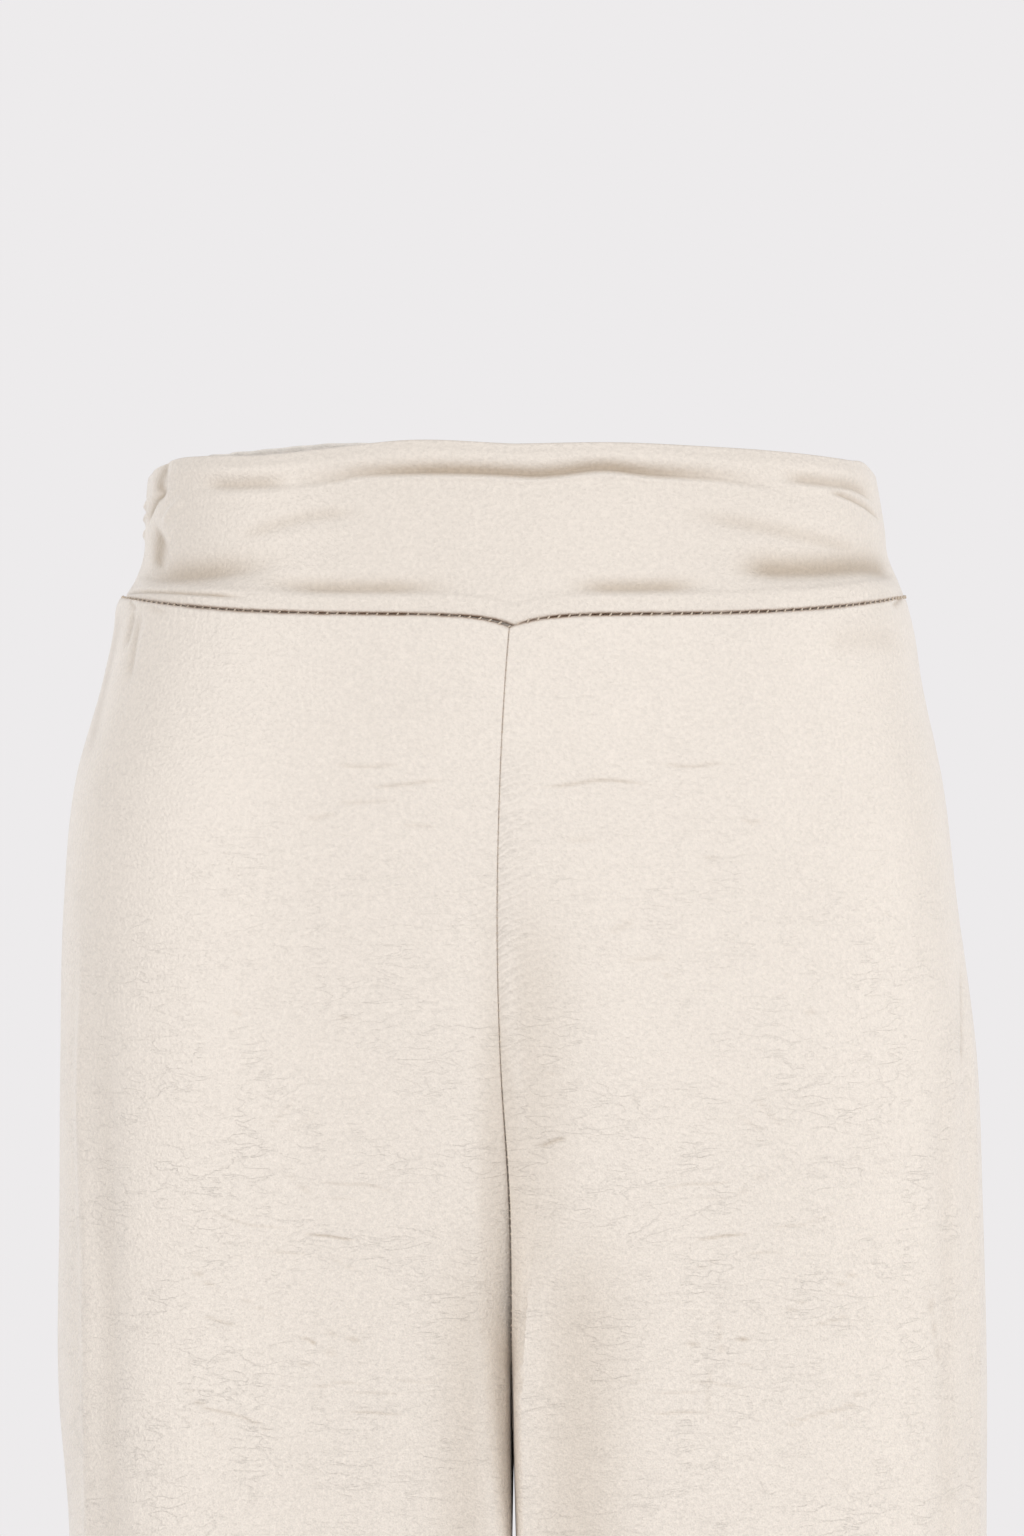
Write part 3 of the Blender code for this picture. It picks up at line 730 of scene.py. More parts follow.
def creased(creases, place, over, down):
    """The relief that creases give to the points of a piece, and the painted shade that darkens their colour.
    """
    relief = np.zeros(over.shape)
    shade = np.zeros(over.shape)
    for one in creases:
        path = np.array([place(x, fall) for x, fall in smooth_path(np.array(one.path))])
        reach = 3 * max(one.above, one.below)
        low, high = path.min(axis=0) - reach, path.max(axis=0) + reach
        near = (over > low[0]) & (over < high[0]) & (down > low[1]) & (down < high[1])
        if not near.any():
            continue
        along, distance = nearest_on(path, over[near], down[near])
        off = distance / np.where(distance > 0, one.above, one.below)
        strength = np.exp(-(off**2)) - LIP * np.exp(-((off + LIP_REACH) ** 2))
        strength *= eased(along / one.ends) * eased((1 - along) / one.ends)
        relief[near] += one.out * strength
        shade[near] = np.maximum(shade[near], one.shade * np.maximum(strength, 0) ** SHADE_POWER)
    return relief, shade


def shell(name, sides, normal, marks, over, down, finishes):
    """A closed shell of cloth from its outer and inner points, the inner side at half the detail."""
    outer, inner = sides
    rows, columns = outer.shape[:2]
    inner = inner[::2, ::2]
    points = np.concatenate([outer.reshape(-1, 3), inner.reshape(-1, 3)])
    out = np.arange(rows * columns).reshape(rows, columns)
    into = rows * columns + np.arange(inner[..., 0].size).reshape(inner.shape[:2])
    turn = np.dot(np.cross(outer[2, 1] - outer[1, 1], outer[1, 2] - outer[1, 1]), normal[1, 1]) < 0
    outer_faces = grid_faces(out, turn)
    inner_faces = grid_faces(into, not turn)
    rims = (
        rim_faces(out[0], into[0], not turn)
        + rim_faces(out[-1], into[-1], turn)
        + rim_faces(out[:, 0], into[:, 0], turn)
        + rim_faces(out[:, -1], into[:, -1], not turn)
    )
    mesh = bpy.data.meshes.new(name)
    mesh.from_pydata(points.tolist(), [], outer_faces.tolist() + inner_faces.tolist() + rims)
    slots = np.zeros(len(mesh.polygons), np.int32)
    slots[len(outer_faces) : len(outer_faces) + len(inner_faces)] = 1
    mesh.polygons.foreach_set("material_index", slots)
    for finish in finishes:
        mesh.materials.append(finish)
    mark_cloth(mesh, marks, over, down)
    mesh.shade_smooth()
    mesh.set_sharp_from_angle(angle=math.radians(60))
    piece = bpy.data.objects.new(name, mesh)
    bpy.context.scene.collection.objects.link(piece)
    return piece


def mark_cloth(mesh, marks, over, down):
    """Puts the marks on a shell's points, none inside, and its places on the flat cloth on its corners."""
    places = np.stack([over, down], axis=-1)
    places = np.concatenate([places.reshape(-1, 2), places[::2, ::2].reshape(-1, 2)])
    for mark, values in marks.items():
        on_points = np.zeros(len(places), np.float32)
        on_points[: values.size] = values.ravel()
        mesh.attributes.new(mark, "FLOAT", "POINT").data.foreach_set("value", on_points)
    corners = np.zeros(len(mesh.loops), np.int32)
    mesh.loops.foreach_get("vertex_index", corners)
    mesh.uv_layers.new(name="cloth").data.foreach_set("uv", places[corners].astype(np.float32).ravel())


def grid_faces(numbers, turn):
    """Four-sided faces over a grid of point numbers."""
    faces = np.stack([numbers[:-1, :-1], numbers[1:, :-1], numbers[1:, 1:], numbers[:-1, 1:]], axis=-1)
    faces = faces.reshape(-1, 4)
    return faces[:, ::-1] if turn else faces


def rim_faces(fine, coarse, turn):
    """Triangles between an outer edge and an inner edge that has every second point."""
    faces = []
    for i in range(len(coarse) - 1):
        first, middle, last = (int(number) for number in fine[2 * i : 2 * i + 3])
        near, far = int(coarse[i]), int(coarse[i + 1])
        faces += [(first, middle, near), (middle, far, near), (middle, last, far)]
    return [face[::-1] for face in faces] if turn else faces


def held_in_quarter(points, half, face):
    """Points kept half a seam's gap inside their quarter of the trousers."""
    held = points.copy()
    held[..., 0] = half.sign * np.maximum(half.sign * points[..., 0], SEAM_GAP / 2)
    held[..., 1] = FACES[face] * np.maximum(FACES[face] * points[..., 1], SEAM_GAP / 2)
    return held


def stray_at(half, x, fall):
    """How far the front's cloth is moved with the centre seam, less and less towards the side."""
    width = read(LEG_SECTIONS, "fall", half.name, fall)
    nearness = np.clip(1 - np.abs(x) / width, 0, 1) ** 2
    return read(CENTRE_STRAYS, "fall", "shift", fall) * nearness


def leg_creases(half, face):
    """A leg piece's own creases, and in front the ones that both legs have."""
    alike = THIGH_CREASES if face == "front" else ()
    placed = []
    for one in alike:
        path = [(MIDWAY + half.sign * away, fall) for away, fall in one.path]
        placed.append(one._replace(path=path))
    return placed + list(LEG_CREASES[half.name, face])


def leg_relief(half, face, grid, below_seam, dark):
    """How far a leg piece's points stand out from the smooth outside, and the painted shade of its creases.
    """

    def place(x, fall):
        straight = x - stray_at(half, x, fall) if face == "front" else x
        return -girth_of(half, face, leg_point, straight, fall)[1], fall

    relief, shade = creased(leg_creases(half, face), place, -grid.side_girth, grid.fall)
    if face == "front":
        deep, nearness = valley_at(half, np.abs(grid.base[..., 0]), grid.fall)
        # Painted shade in the valley beside the centre seam, darkest where it is deep
        shade = np.maximum(shade, VALLEY_SHADE * np.minimum(deep / VALLEY_SHADE_DEPTH, 1) * nearness**0.4)
    relief += leg_folds(half, face, grid.across, grid.fall)
    relief += HEM_STEP * (1 - eased((HEM_FALL - grid.fall - HEM_DEPTH) / HEM_STEP_REACH))
    relief -= waist_ditch(dark, below_seam)
    relief -= turned(grid.girth, CENTRE_TURN) + turned(grid.side_girth, SIDE_TURN)
    return relief, shade


def leg_sides(half, face, grid, relief):
    """A leg piece's outer and inner points."""
    hem = turned(HEM_FALL - grid.fall, EDGE_ROUNDING * LEG_CLOTH)
    sides = []
    for height in (relief - hem, relief - LEG_CLOTH + hem):
        side = held_in_quarter(grid.base + height[..., None] * grid.normal, half, face)
        if face == "front":
            side[..., 0] += stray_at(half, side[..., 0], grid.fall)
        sides.append(side)
    return sides


def leg_piece(half, face, finishes):
    """One leg piece, from the waist seam to the hem."""
    grid = leg_grid(half, face)
    below_seam = grid.fall - seam_fall(face, grid.across) - SEAM_GAP / 2
    dark = waist_darkness(half, grid)
    relief, shade = leg_relief(half, face, grid, below_seam, dark)
    sides = leg_sides(half, face, grid, relief)
    # The crease mark is painted shade, darkening the colour in the creases and in the valley
    marks = {
        "crease": shade,
        # The seam mark is painted shade in the seams' ditches, mixed with the thread's brown
        "seam": np.maximum.reduce([
            darkness(dark, below_seam, WAIST_DARK_REACH),
            darkness(centre_darkness(grid), grid.girth, CENTRE_DARK_REACH),
            darkness(SIDE_DARKNESS, grid.side_girth, SIDE_DARK_REACH),
        ]),
        "pucker": np.exp(-below_seam / WAIST_PUCKER_REACH),
        # The puckers' waves are also painted lighter and darker in the colour
        "centre_pucker": centre_puckers(half, face, grid),
    }
    solid = f"{half.name}_{face}_leg"
    piece = shell(solid + "_cloth", sides, grid.normal, marks, half.sign * grid.girth, -grid.fall, finishes)
    declare(piece, solid, CUTS[f"{face}_leg"])
    return sides[0], grid


def declare(piece, solid, cut):
    """Attaches a sheet of cloth to the root and hides the solid that it stands for."""
    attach(piece, "root")
    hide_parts(solid)
    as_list(cut.rests_on)


def darkness(most, distance, reach):
    """How dark a seam's painted shade and thread brown make the cloth at a distance from it."""
    return most * np.exp(-((distance / reach) ** 2))


def centre_darkness(grid):
    """How dark the painted shade and thread brown of the centre seam or inseam are: most at its top and near
    the crotch.
    """
    return 0.25 + 0.25 * eased((0.130 - grid.fall) / 0.060) + 0.35 * eased((grid.fall - 0.250) / 0.070)


def centre_puckers(half, face, grid):
    """How strongly the cloth puckers beside the front's centre seam, and the painted light and shade on its
    waves: most on the left, above the crotch.
    """
    strength = {("left", "front"): 1.0, ("right", "front"): 0.4}.get((half.name, face), 0.0)
    length = eased((grid.fall - 0.085) / 0.050) * eased((0.270 - grid.fall) / 0.080)
    return strength * length * np.exp(-grid.girth / CENTRE_PUCKER_REACH)


def waist_darkness(half, grid):
    """How deep the ditch under the band is and how dark its painted shade: less towards the side seams."""
    start, end = (0.020, 0.105) if half is RIGHT else (0.020, 0.070)
    return 0.15 + 0.85 * eased((grid.side_girth - start) / (end - start))


def band_half(half, face, grid, cloth, creases):
    """The sides, ways out, marks and places on the flat cloth of half a waistband."""

    def place(x, fall):
        side = LEFT if x > 0 else RIGHT
        return side.sign * girth_of(side, face, band_point, x, fall)[0], fall

    over = half.sign * grid.girth
    below_top = grid.fall - grid.fall[0]
    above_seam = grid.fall[-1] - grid.fall
    relief, shade = creased(creases, place, over, grid.fall)
    relief += band_swells(half, face, grid, below_top, above_seam)
    dark = waist_darkness(half, grid)
    relief -= waist_ditch(dark, above_seam) + turned(grid.side_girth, SIDE_TURN)
    top = turned(below_top, EDGE_ROUNDING * cloth)
    sides = []
    for height in (relief - top, relief - cloth + top):
        side = grid.base + height[..., None] * grid.normal
        side[..., 1] = FACES[face] * np.maximum(FACES[face] * side[..., 1], SEAM_GAP / 2)
        side[:, 0, 0] = 0
        sides.append(side)
    # Painted shade in the ditch of the waist seam and at the side seam, with the thread's brown
    seam = np.maximum(
        darkness(dark, above_seam, WAIST_DARK_REACH),
        darkness(SIDE_DARKNESS, grid.side_girth, SIDE_DARK_REACH),
    )
    pucker = np.exp(-above_seam / WAIST_PUCKER_REACH)
    return *sides, grid.normal, shade, seam, pucker, over, -grid.fall


def band_piece(face, finishes, cloth, creases):
    """A waistband, from the wearer's right side seam round the centre to the left one."""
    grids = zip((LEFT, RIGHT), band_grids(face))
    left, right = (band_half(half, face, grid, cloth, creases) for half, grid in grids)
    joined = [np.concatenate([b[:, :0:-1], a], axis=1) for a, b in zip(left, right)]
    outer, inner, normal, shade, seam, pucker, over, down = joined
    # The crease mark is painted shade in the creases; the seam mark is painted shade in the seam's ditch with
    # the thread's brown
    marks = {"crease": shade, "seam": seam, "pucker": pucker}
    solid = f"{face}_waistband"
    piece = shell(solid + "_cloth", (outer, inner), normal, marks, over, down, finishes)
    declare(piece, solid, CUTS[solid])


def band_swells(half, face, grid, below_top, above_seam):
    """The rolled top, the raised seam allowance and, behind, the gathers."""
    if face == "back":
        return BAND_GATHER_DEPTH * gathers(half, grid.across)
    inward = eased((1 - grid.across) / 0.25)
    roll = 0.0009 * np.exp(-(((below_top - 0.0050) / 0.0034) ** 2)) * inward
    allowance = 0.0005 * (1 - eased((above_seam - 0.0062) / 0.0022)) * inward
    body = 0.0004 * eased((below_top - 0.012) / 0.010) * eased((above_seam - 0.010) / 0.010) * inward
    return roll + allowance + body


def node(tree, kind, inputs=None, **settings):
    """A new node with its settings and with values or links on its inputs."""
    made = tree.nodes.new(kind)
    for name, value in settings.items():
        setattr(made, name, value)
    for socket, value in (inputs or {}).items():
        if isinstance(value, bpy.types.NodeSocket):
            tree.links.new(value, made.inputs[socket])
        else:
            made.inputs[socket].default_value = value
    return made


def maths(tree, operation, first, second=0.0):
    """The result of one sum."""
    return node(tree, "ShaderNodeMath", {0: first, 1: second}, operation=operation).outputs[0]


def product(tree, first, *others):
    """Values multiplied by each other."""
    for other in others:
        first = maths(tree, "MULTIPLY", first, other)
    return first


def total(tree, first, *others):
    """Values added up."""
    for other in others:
        first = maths(tree, "ADD", first, other)
    return first


def new_group(name, kind, inputs, outputs):
    """An empty node group with its named inputs, each with its kind and value, and its outputs."""
    tree = bpy.data.node_groups.new(name, kind)
    for socket, kind, value in inputs:
        made = tree.interface.new_socket(socket, in_out="INPUT", socket_type=kind)
        if value is not None:
            made.default_value = value
    for socket, kind in outputs:
        tree.interface.new_socket(socket, in_out="OUTPUT", socket_type=kind)
    return tree


def ranged(tree, value, low, high, to_low=0.0, to_high=1.0):
    """A value eased from one range to another."""
    inputs = {"Value": value, "From Min": low, "From Max": high, "To Min": to_low, "To Max": to_high}
    return node(tree, "ShaderNodeMapRange", inputs, interpolation_type="SMOOTHSTEP").outputs["Result"]


def mixed(tree, share, first, second, blend="MIX"):
    """One colour mixed with another."""
    made = node(tree, "ShaderNodeMix", data_type="RGBA", blend_type=blend)
    for socket, value in ((0, share), (6, first), (7, second)):
        if isinstance(value, bpy.types.NodeSocket):
            tree.links.new(value, made.inputs[socket])
        else:
            made.inputs[socket].default_value = value
    return made.outputs[2]


def vector_maths(tree, operation, first, second, output="Vector"):
    """The result of one sum of directions."""
    kept = node(tree, "ShaderNodeVectorMath", {0: first}, operation=operation)
    socket = "Scale" if operation == "SCALE" else 1
    tree.links.new(second, kept.inputs[socket])
    return kept.outputs[output]


STITCH_INPUTS = (
    ("Path", "NodeSocketGeometry", None),
    ("Pitch", "NodeSocketFloat", 0.0036),
    ("Length", "NodeSocketFloat", 0.0014),
    ("Thickness", "NodeSocketFloat", 0.0004),
    ("Slant", "NodeSocketFloat", 1.0),
    ("Seed", "NodeSocketInt", 1),
    ("Thread", "NodeSocketMaterial", None),
)


def stitch_tree():
    """Lays short threads along a path, each slanted across it and a little uneven."""
    tree = new_group("stitches", "GeometryNodeTree", STITCH_INPUTS, [("Stitches", "NodeSocketGeometry")])
    given = node(tree, "NodeGroupInput").outputs
    line = node(tree, "GeometryNodeMeshToCurve", {"Mesh": given["Path"]}).outputs[0]
    spaced_line = {"Curve": line, "Length": given["Pitch"]}
    even_line = node(tree, "GeometryNodeResampleCurve", spaced_line, mode="LENGTH").outputs[0]
    kind = "FLOAT_VECTOR"
    out = node(tree, "GeometryNodeInputNamedAttribute", {"Name": "out"}, data_type=kind).outputs[0]

    def uneven(low, high, shift):
        seed = maths(tree, "ADD", given["Seed"], float(shift))
        made = node(tree, "FunctionNodeRandomValue", {2: low, 3: high, "Seed": seed}, data_type="FLOAT")
        return made.outputs[1]

    turn = stitch_turn(tree, out, product(tree, given["Slant"], uneven(0.85, 1.15, 1)))
    long = product(tree, given["Length"], uneven(0.80, 1.15, 2))
    thick = product(tree, given["Thickness"], uneven(0.85, 1.15, 3))
    size = node(tree, "ShaderNodeCombineXYZ", {0: long, 1: thick, 2: thick}).outputs[0]
    round_thread = {"Segments": 6, "Rings": 4, "Radius": 0.5}
    thread = node(tree, "GeometryNodeMeshUVSphere", round_thread).outputs[0]
    placed = {"Points": even_line, "Instance": thread, "Rotation": turn, "Scale": size}
    laid = node(tree, "GeometryNodeInstanceOnPoints", placed).outputs[0]
    solid = node(tree, "GeometryNodeRealizeInstances", {0: laid}).outputs[0]
    coloured = {"Geometry": solid, "Material": given["Thread"]}
    node(tree, "NodeGroupOutput", {0: node(tree, "GeometryNodeSetMaterial", coloured).outputs[0]})
    return tree


def stitch_turn(tree, out, slant):
    """The turn that lays a stitch on the cloth, slanted across its line."""
    along = node(tree, "GeometryNodeInputTangent").outputs[0]
    across = vector_maths(tree, "CROSS_PRODUCT", out, along)
    lie_along = vector_maths(tree, "SCALE", along, maths(tree, "COSINE", slant))
    lie_across = vector_maths(tree, "SCALE", across, maths(tree, "SINE", slant))
    lie = vector_maths(tree, "ADD", lie_along, lie_across)
    axes = {"primary_axis": "Z", "secondary_axis": "X"}
    return node(tree, "FunctionNodeAxesToRotation", {0: out, 1: lie}, **axes).outputs[0]


def stitch_path(name, lines):
    """Lines of (points, ways out) as one mesh of edges."""
    points = np.concatenate([line for line, _ in lines])
    ways = np.concatenate([way for _, way in lines])
    edges, start = [], 0
    for line, _ in lines:
        edges += [(i, i + 1) for i in range(start, start + len(line) - 1)]
        start += len(line)
    path = bpy.data.meshes.new(name + "_path")
    path.from_pydata(points.tolist(), edges, [])
    out = path.attributes.new("out", "FLOAT_VECTOR", "POINT")
    out.data.foreach_set("vector", ways.astype(np.float32).ravel())
    return path


def stitches(name, tree, thread, lines, stitch):
    """Stitches along lines of (points, ways out), as one plain mesh."""
    carrier = bpy.data.objects.new(name + "_path", stitch_path(name, lines))
    bpy.context.scene.collection.objects.link(carrier)
    maker = carrier.modifiers.new("stitches", "NODES")
    maker.node_group = tree
    values = {field.title(): value for field, value in stitch._asdict().items()} | {"Thread": thread}
    for item in tree.interface.items_tree:
        if item.in_out == "INPUT" and item.name in values:
            maker[item.identifier] = values[item.name]
    seen = carrier.evaluated_get(bpy.context.evaluated_depsgraph_get())
    mesh = bpy.data.meshes.new_from_object(seen)
    carrier.modifiers.remove(maker)
    bpy.data.objects.remove(carrier)
    mesh.name = name
    mesh.shade_smooth()
    piece = bpy.data.objects.new(name, mesh)
    bpy.context.scene.collection.objects.link(piece)
    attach(piece, "root")


def raised(leg, rows, columns, lift):
    """A line of points along a leg piece and its ways out, lifted from the cloth."""
    outer, grid = leg
    ways = grid.normal[rows, columns]
    return outer[rows, columns] + lift * ways, ways


def rows_between(leg, low, high):
    """The rows of a leg piece between two falls, at its inner edge."""
    falls = leg[1].fall[:, 0]
    return np.where((falls >= low) & (falls <= high))[0]


def waist_line(legs, face):
    """The stitching line in the ditch under the band, highest at its point and lowest to the right of it."""
    sides = []
    for half, low, rise in ((RIGHT, 0.12, 0.80), (LEFT, 0.66, 0.36)):
        leg = legs[half.name, face]
        x = leg[0][0, :, :1]
        sides.append(raised(leg, 0, slice(None), WAIST_TURN * (low + rise * np.exp(-((x / 0.014) ** 2)))))
    return [np.concatenate([right[::-1], left]) for right, left in zip(*sides)]


def hem_line(leg):
    """The stitching line that holds a hem's turning."""
    row = rows_between(leg, 0, HEM_FALL - HEM_DEPTH + 0.0015)[-1]
    return raised(leg, row, slice(6, -6), 0)


def sew(legs, thread):
    """All the stitching that shows."""
    tree = stitch_tree()
    for face in FACES:
        waist = waist_line(legs, face)
        stitches(f"{face}_waist_seam_stitches", tree, thread, [waist], STITCHES["waist_seam"])
        leg = legs["left", face]
        centre = raised(leg, rows_between(leg, 0, CROTCH_FALL), 0, 0.7 * CENTRE_TURN)
        stitches(f"centre_{face}_stitches", tree, thread, [centre], STITCHES["centre"])
    for half in (LEFT, RIGHT):
        leg = legs[half.name, "back"]
        inseam = raised(leg, rows_between(leg, CROTCH_FALL, HEM_FALL), 0, 0.5 * CENTRE_TURN)
        side_seam = raised(leg, slice(None), -1, 0.5 * SIDE_TURN)
        hems = [hem_line(legs[half.name, face]) for face in FACES]
        for seam, lines in (("inseam", [inseam]), ("side_seam", [side_seam]), ("hem", hems)):
            stitches(f"{half.name}_{seam}_stitches", tree, thread, lines, STITCHES[seam])


SATIN_INPUTS = (
    ("Colour", "NodeSocketColor", (0.8, 0.74, 0.66, 1)),
    # The colour and strength of the painted shade in creases, and the brown of the painted shade and thread
    # in seams
    ("Crease Shade Colour", "NodeSocketColor", (0.48, 0.385, 0.285, 1)),
    ("Seam Shade And Thread Colour", "NodeSocketColor", (0.25, 0.13, 0.06, 1)),
    ("Crease Shade Strength", "NodeSocketFloat", 0.7),
    ("Crinkle", "NodeSocketFloat", 1.0),
    ("Roughness", "NodeSocketFloat", 0.42),
)
SATIN_OUTPUTS = (
    ("Colour", "NodeSocketColor"),
    ("Roughness", "NodeSocketFloat"),
    ("Height", "NodeSocketFloat"),
)


def mark(tree, name):
    """One of the marks on a shell's points."""
    return node(tree, "ShaderNodeAttribute", attribute_name=name).outputs["Fac"]


def noise(tree, where, stretch, scale, detail, distortion=0.0):
    """A fixed noise, stretched along the directions with a small number."""
    spread = node(tree, "ShaderNodeMapping", {"Vector": where, "Scale": stretch}).outputs[0]
    inputs = {"Vector": spread, "Scale": scale, "Detail": detail, "Distortion": distortion}
    return node(tree, "ShaderNodeTexNoise", inputs).outputs["Fac"]


def seam_puckers(tree, cloud):
    """The waves beside the seam under the band and, slanted, beside the centre seam."""
    times, plus = partial(product, tree), partial(total, tree)
    spot = node(tree, "ShaderNodeUVMap", uv_map="cloth").outputs[0]
    over, up = node(tree, "ShaderNodeSeparateXYZ", {0: spot}).outputs[:2]
    waist = maths(tree, "SINE", plus(times(over, 1745.0), times(cloud, 9.0)))
    centre = maths(tree, "SINE", plus(times(up, 1900.0), times(over, -900.0), times(cloud, 26.0)))
    return times(waist, mark(tree, "pucker")), times(centre, mark(tree, "centre_pucker"))


def crinkled_satin_group():
    """The colour, roughness and height of satin with a fine crinkle, with painted shade in creases and in
    seams with the thread's brown.
    """
    tree = new_group("crinkled_satin", "ShaderNodeTree", SATIN_INPUTS, SATIN_OUTPUTS)
    times, plus = partial(product, tree), partial(total, tree)
    given = node(tree, "NodeGroupInput").outputs
    where = node(tree, "ShaderNodeTexCoord").outputs["Object"]
    fall = times(node(tree, "ShaderNodeSeparateXYZ", {0: where}).outputs["Z"], -1.0)
    lower = ranged(tree, fall, 0.06, 0.26, 0.30, 1.0)
    plain_noise = partial(noise, tree, where)

    def swing(*values):
        return maths(tree, "SUBTRACT", plain_noise(*values), 0.5)

    grain = swing((0.85, 0.85, 1.0), 820.0, 2.0)
    pebble = times(swing((1.0, 1.0, 1.0), 1700.0, 1.0), ranged(tree, fall, 0.10, 0.36, 0.4, 1.6))
    cloud = swing((0.8, 0.8, 0.5), 42.0, 3.0)
    off_line = maths(tree, "ABSOLUTE", swing((0.34, 0.34, 1.0), 250.0, 3.0, 0.5))
    patch = ranged(tree, plain_noise((1.0, 1.0, 1.0), 60.0, 2.0), 0.36, 0.66, 0.15, 1.0)
    crinkle = times(ranged(tree, off_line, 0.0, 0.028, 1.0, 0.0), patch, lower, given["Crinkle"])
    ripple = times(swing((0.25, 0.25, 1.0), 95.0, 2.0, 0.4), lower, given["Crinkle"])
    pucker, fan = seam_puckers(tree, cloud)
    height = plus(
        times(grain, 0.42), times(crinkle, -0.11), times(ripple, 0.16),
        times(pucker, 0.05), times(fan, 0.20), times(pebble, 0.10),
    )

    # Painted shade: the colour turns towards a dark brown in the creases and in the valley
    colour = mixed(
        tree, times(mark(tree, "crease"), given["Crease Shade Strength"]), given["Colour"], given["Crease Shade Colour"]
    )
    # The tone varies at random with the grain, pebble and cloud; it is painted shade along the crinkle lines,
    # and painted light and shade on the puckers beside the centre seam
    tone = plus(
        times(grain, 0.26), times(cloud, 0.04), 1.0,
        times(crinkle, -0.06), times(pebble, 0.22), times(fan, 0.035),
    )
    tone = node(tree, "ShaderNodeCombineColor", {0: tone, 1: tone, 2: tone}).outputs[0]
    colour = mixed(tree, 1.0, colour, tone, "MULTIPLY")
    # The seams are painted darker and browner, unevenly along them: painted shade in their ditches with the
    # thread's brown
    uneven = ranged(tree, plain_noise((1.0, 1.0, 1.0), 170.0, 2.0), 0.35, 0.65, 0.5)
    colour = mixed(tree, times(mark(tree, "seam"), uneven), colour, given["Seam Shade And Thread Colour"])
    rough = plus(given["Roughness"], times(grain, 0.12))
    node(tree, "NodeGroupOutput", {"Colour": colour, "Roughness": rough, "Height": height})
    return tree


def satin(name, group, values, shine):
    """A satin finish from the shared group, with the group's values and its shader's own."""
    made = bpy.data.materials.new(name)
    made.use_nodes = True
    tree = made.node_tree
    shader = tree.nodes["Principled BSDF"]
    cloth = node(tree, "ShaderNodeGroup", values, node_tree=group)
    tree.links.new(cloth.outputs["Colour"], shader.inputs["Base Color"])
    tree.links.new(cloth.outputs["Roughness"], shader.inputs["Roughness"])
    relief = {"Height": cloth.outputs["Height"], "Distance": 0.001, "Strength": 1.0}
    bump = node(tree, "ShaderNodeBump", relief)
    tree.links.new(bump.outputs[0], shader.inputs["Normal"])
    for socket, value in shine.items():
        shader.inputs[socket].default_value = value
    return made


SHINE = {"Metallic": 0.10, "Sheen Weight": 0.30, "Sheen Roughness": 0.35, "Sheen Tint": (1, 0.97, 0.95, 1)}


def build_finishes():
    """The satin of the legs and of the bands, each with its reverse, and the thread."""
    group = crinkled_satin_group()
    legs = satin("leg_satin", group, {"Colour": (0.84, 0.765, 0.682, 1), "Roughness": 0.48}, SHINE)
    # The bands' creases get stronger painted shade
    bands = satin(
        "band_satin", group,
        {"Colour": (0.82, 0.745, 0.662, 1), "Roughness": 0.48, "Crinkle": 0.4, "Crease Shade Strength": 0.88},
        SHINE,
    )
    # The reverse is lighter than the face: painted light that lifts the shaded inside of the cloth
    reverse = satin(
        "satin_reverse", group,
        {"Colour": (0.92, 0.86, 0.79, 1), "Roughness": 0.6, "Crinkle": 0.5}, {"Sheen Weight": 0.1},
    )
    thread = satin("thread", group, {"Colour": (0.64, 0.54, 0.43, 1), "Roughness": 0.55, "Crinkle": 0.0}, {})
    return (legs, reverse), (bands, reverse), thread


def plain(name, colour, roughness):
    """A plain finish for the stage."""
    made = bpy.data.materials.new(name)
    made.use_nodes = True
    shader = made.node_tree.nodes["Principled BSDF"]
    shader.inputs["Base Color"].default_value = colour
    shader.inputs["Roughness"].default_value = roughness
    return made


Lamp = namedtuple("Lamp", "name place target size energy")
LAMPS = (
    Lamp("key", (1.0, -3.6, 1.0), (0, 0, -0.2), (3.0, 3.0), 40),
    Lamp("right_side", (-3.2, -1.8, -0.1), (0, 0, -0.2), (1.6, 2.8), 38),
    Lamp("left_front", (3.2, -1.8, -0.1), (0, 0, -0.2), (1.6, 2.8), 18),
    Lamp("left_side", (3.2, 0.2, -0.1), (0, 0, -0.2), (1.6, 2.8), 18),
    Lamp("right_rim", (-1.7, 2.6, -0.1), (0, 0, -0.3), (1.2, 2.4), 11),
    Lamp("left_rim", (1.7, 2.6, -0.1), (0, 0, -0.3), (1.2, 2.4), 7),
)


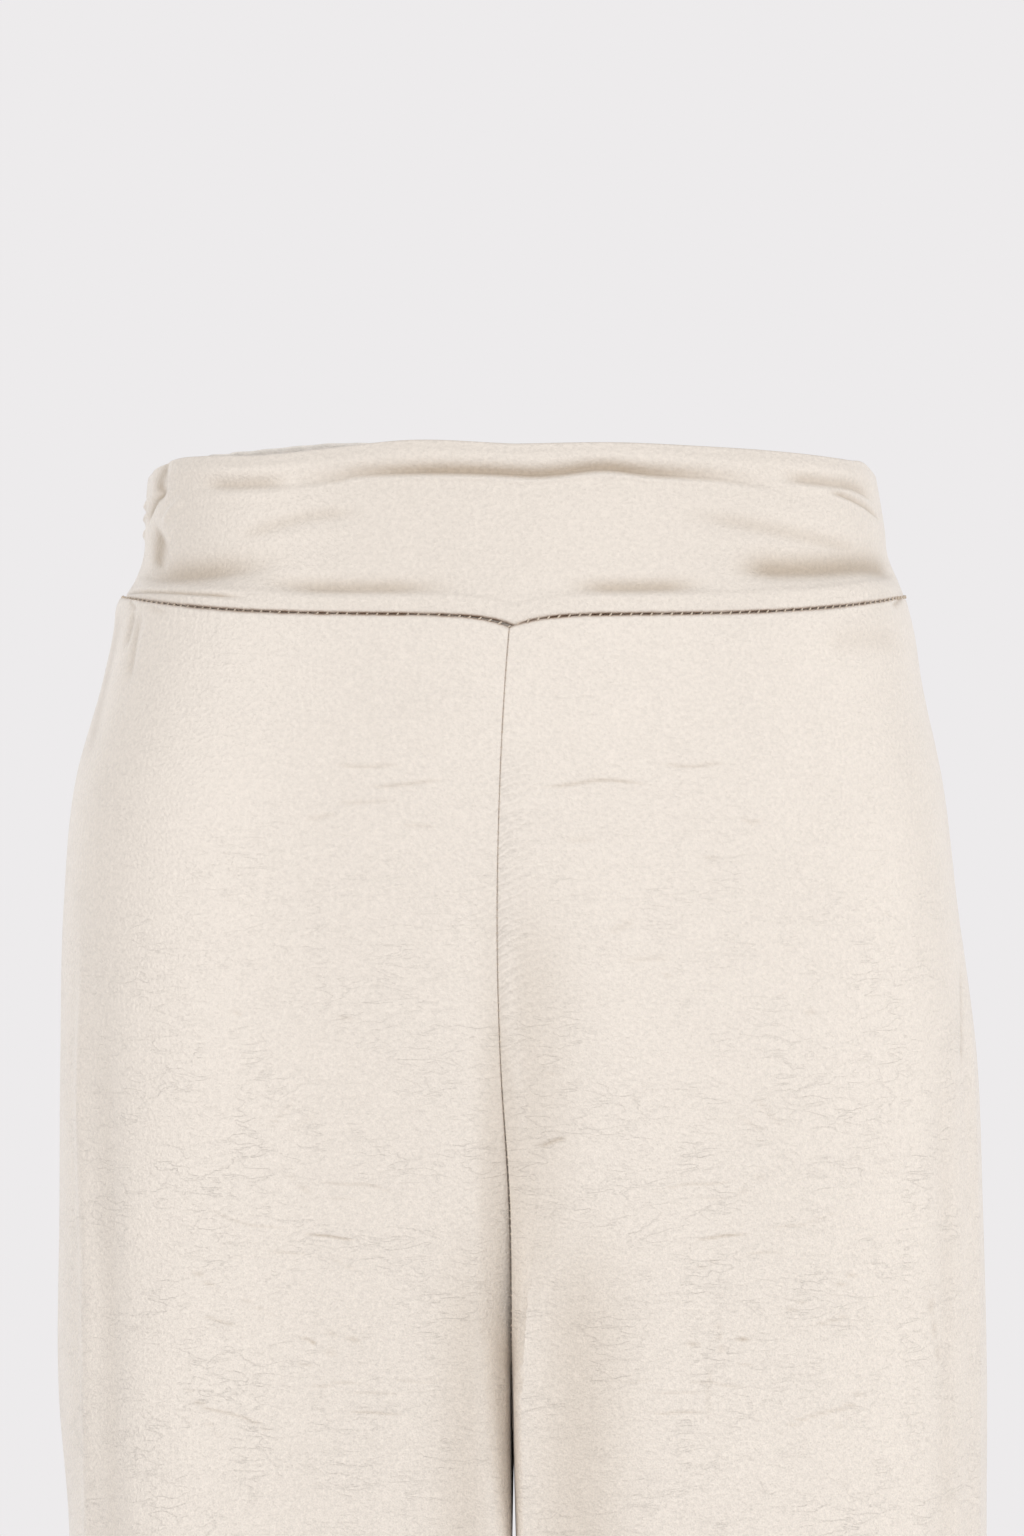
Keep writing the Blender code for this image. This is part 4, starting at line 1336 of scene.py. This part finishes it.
def build_stage():
    """A plain pale floor, a pale surround, soft studio light and the camera."""
    scene = bpy.context.scene
    scene.view_settings.view_transform = "Standard"
    place = (0, 0, -FLOOR_FALL)
    bpy.ops.mesh.primitive_circle_add(vertices=96, radius=9.0, fill_type="NGON", location=place)
    floor = bpy.context.object
    floor.name = "floor"
    floor.data.materials.append(plain("pale_floor", (0.80, 0.79, 0.79, 1), 0.7))
    build_surround(scene)
    for lamp in LAMPS:
        build_lamp(scene, lamp)
    build_camera(scene)


def build_lamp(scene, lamp):
    """One soft panel of light, which the camera doesn't see."""
    light = bpy.data.lights.new(lamp.name, "AREA")
    light.shape = "RECTANGLE"
    light.size, light.size_y = lamp.size
    light.energy = lamp.energy
    panel = bpy.data.objects.new(lamp.name, light)
    panel.location = lamp.place
    panel.rotation_euler = (Vector(lamp.target) - Vector(lamp.place)).to_track_quat("-Z", "Y").to_euler()
    panel.visible_camera = False
    scene.collection.objects.link(panel)


def build_surround(scene):
    """The pale ground as the camera sees it, and a softer even light from all round."""
    world = bpy.data.worlds.new("surround")
    world.use_nodes = True
    tree = world.node_tree
    tree.nodes.clear()
    seen = node(tree, "ShaderNodeBackground", {"Color": (0.847, 0.831, 0.839, 1), "Strength": 1.0})
    light = node(tree, "ShaderNodeBackground", {"Color": (0.98, 0.98, 1.0, 1), "Strength": 0.60})
    path = node(tree, "ShaderNodeLightPath")
    shares = {0: path.outputs["Is Camera Ray"], 1: light.outputs[0], 2: seen.outputs[0]}
    mix = node(tree, "ShaderNodeMixShader", shares)
    node(tree, "ShaderNodeOutputWorld", {"Surface": mix.outputs[0]})
    scene.world = world


def build_camera(scene):
    """The camera of a product photograph, level and straight in front of the hips."""
    camera = bpy.data.objects.new("camera", bpy.data.cameras.new("camera"))
    camera.data.sensor_width = 36.0
    camera.data.lens = 36.0 * CAMERA_DISTANCE / FRAME_HEIGHT
    camera.data.clip_end = 100
    camera.location = (CAMERA_X, -CAMERA_DISTANCE, -CAMERA_FALL)
    camera.rotation_euler = (math.pi / 2, 0, 0)
    scene.collection.objects.link(camera)
    scene.camera = camera


build_stage()
LEG_FINISHES, BAND_FINISHES, THREAD = build_finishes()
band_piece("front", BAND_FINISHES, FRONT_BAND_CLOTH, FRONT_BAND_CREASES)
band_piece("back", BAND_FINISHES, BACK_BAND_CLOTH, ())
LEGS = {(half.name, face): leg_piece(half, face, LEG_FINISHES) for half in (LEFT, RIGHT) for face in FACES}
sew(LEGS, THREAD)
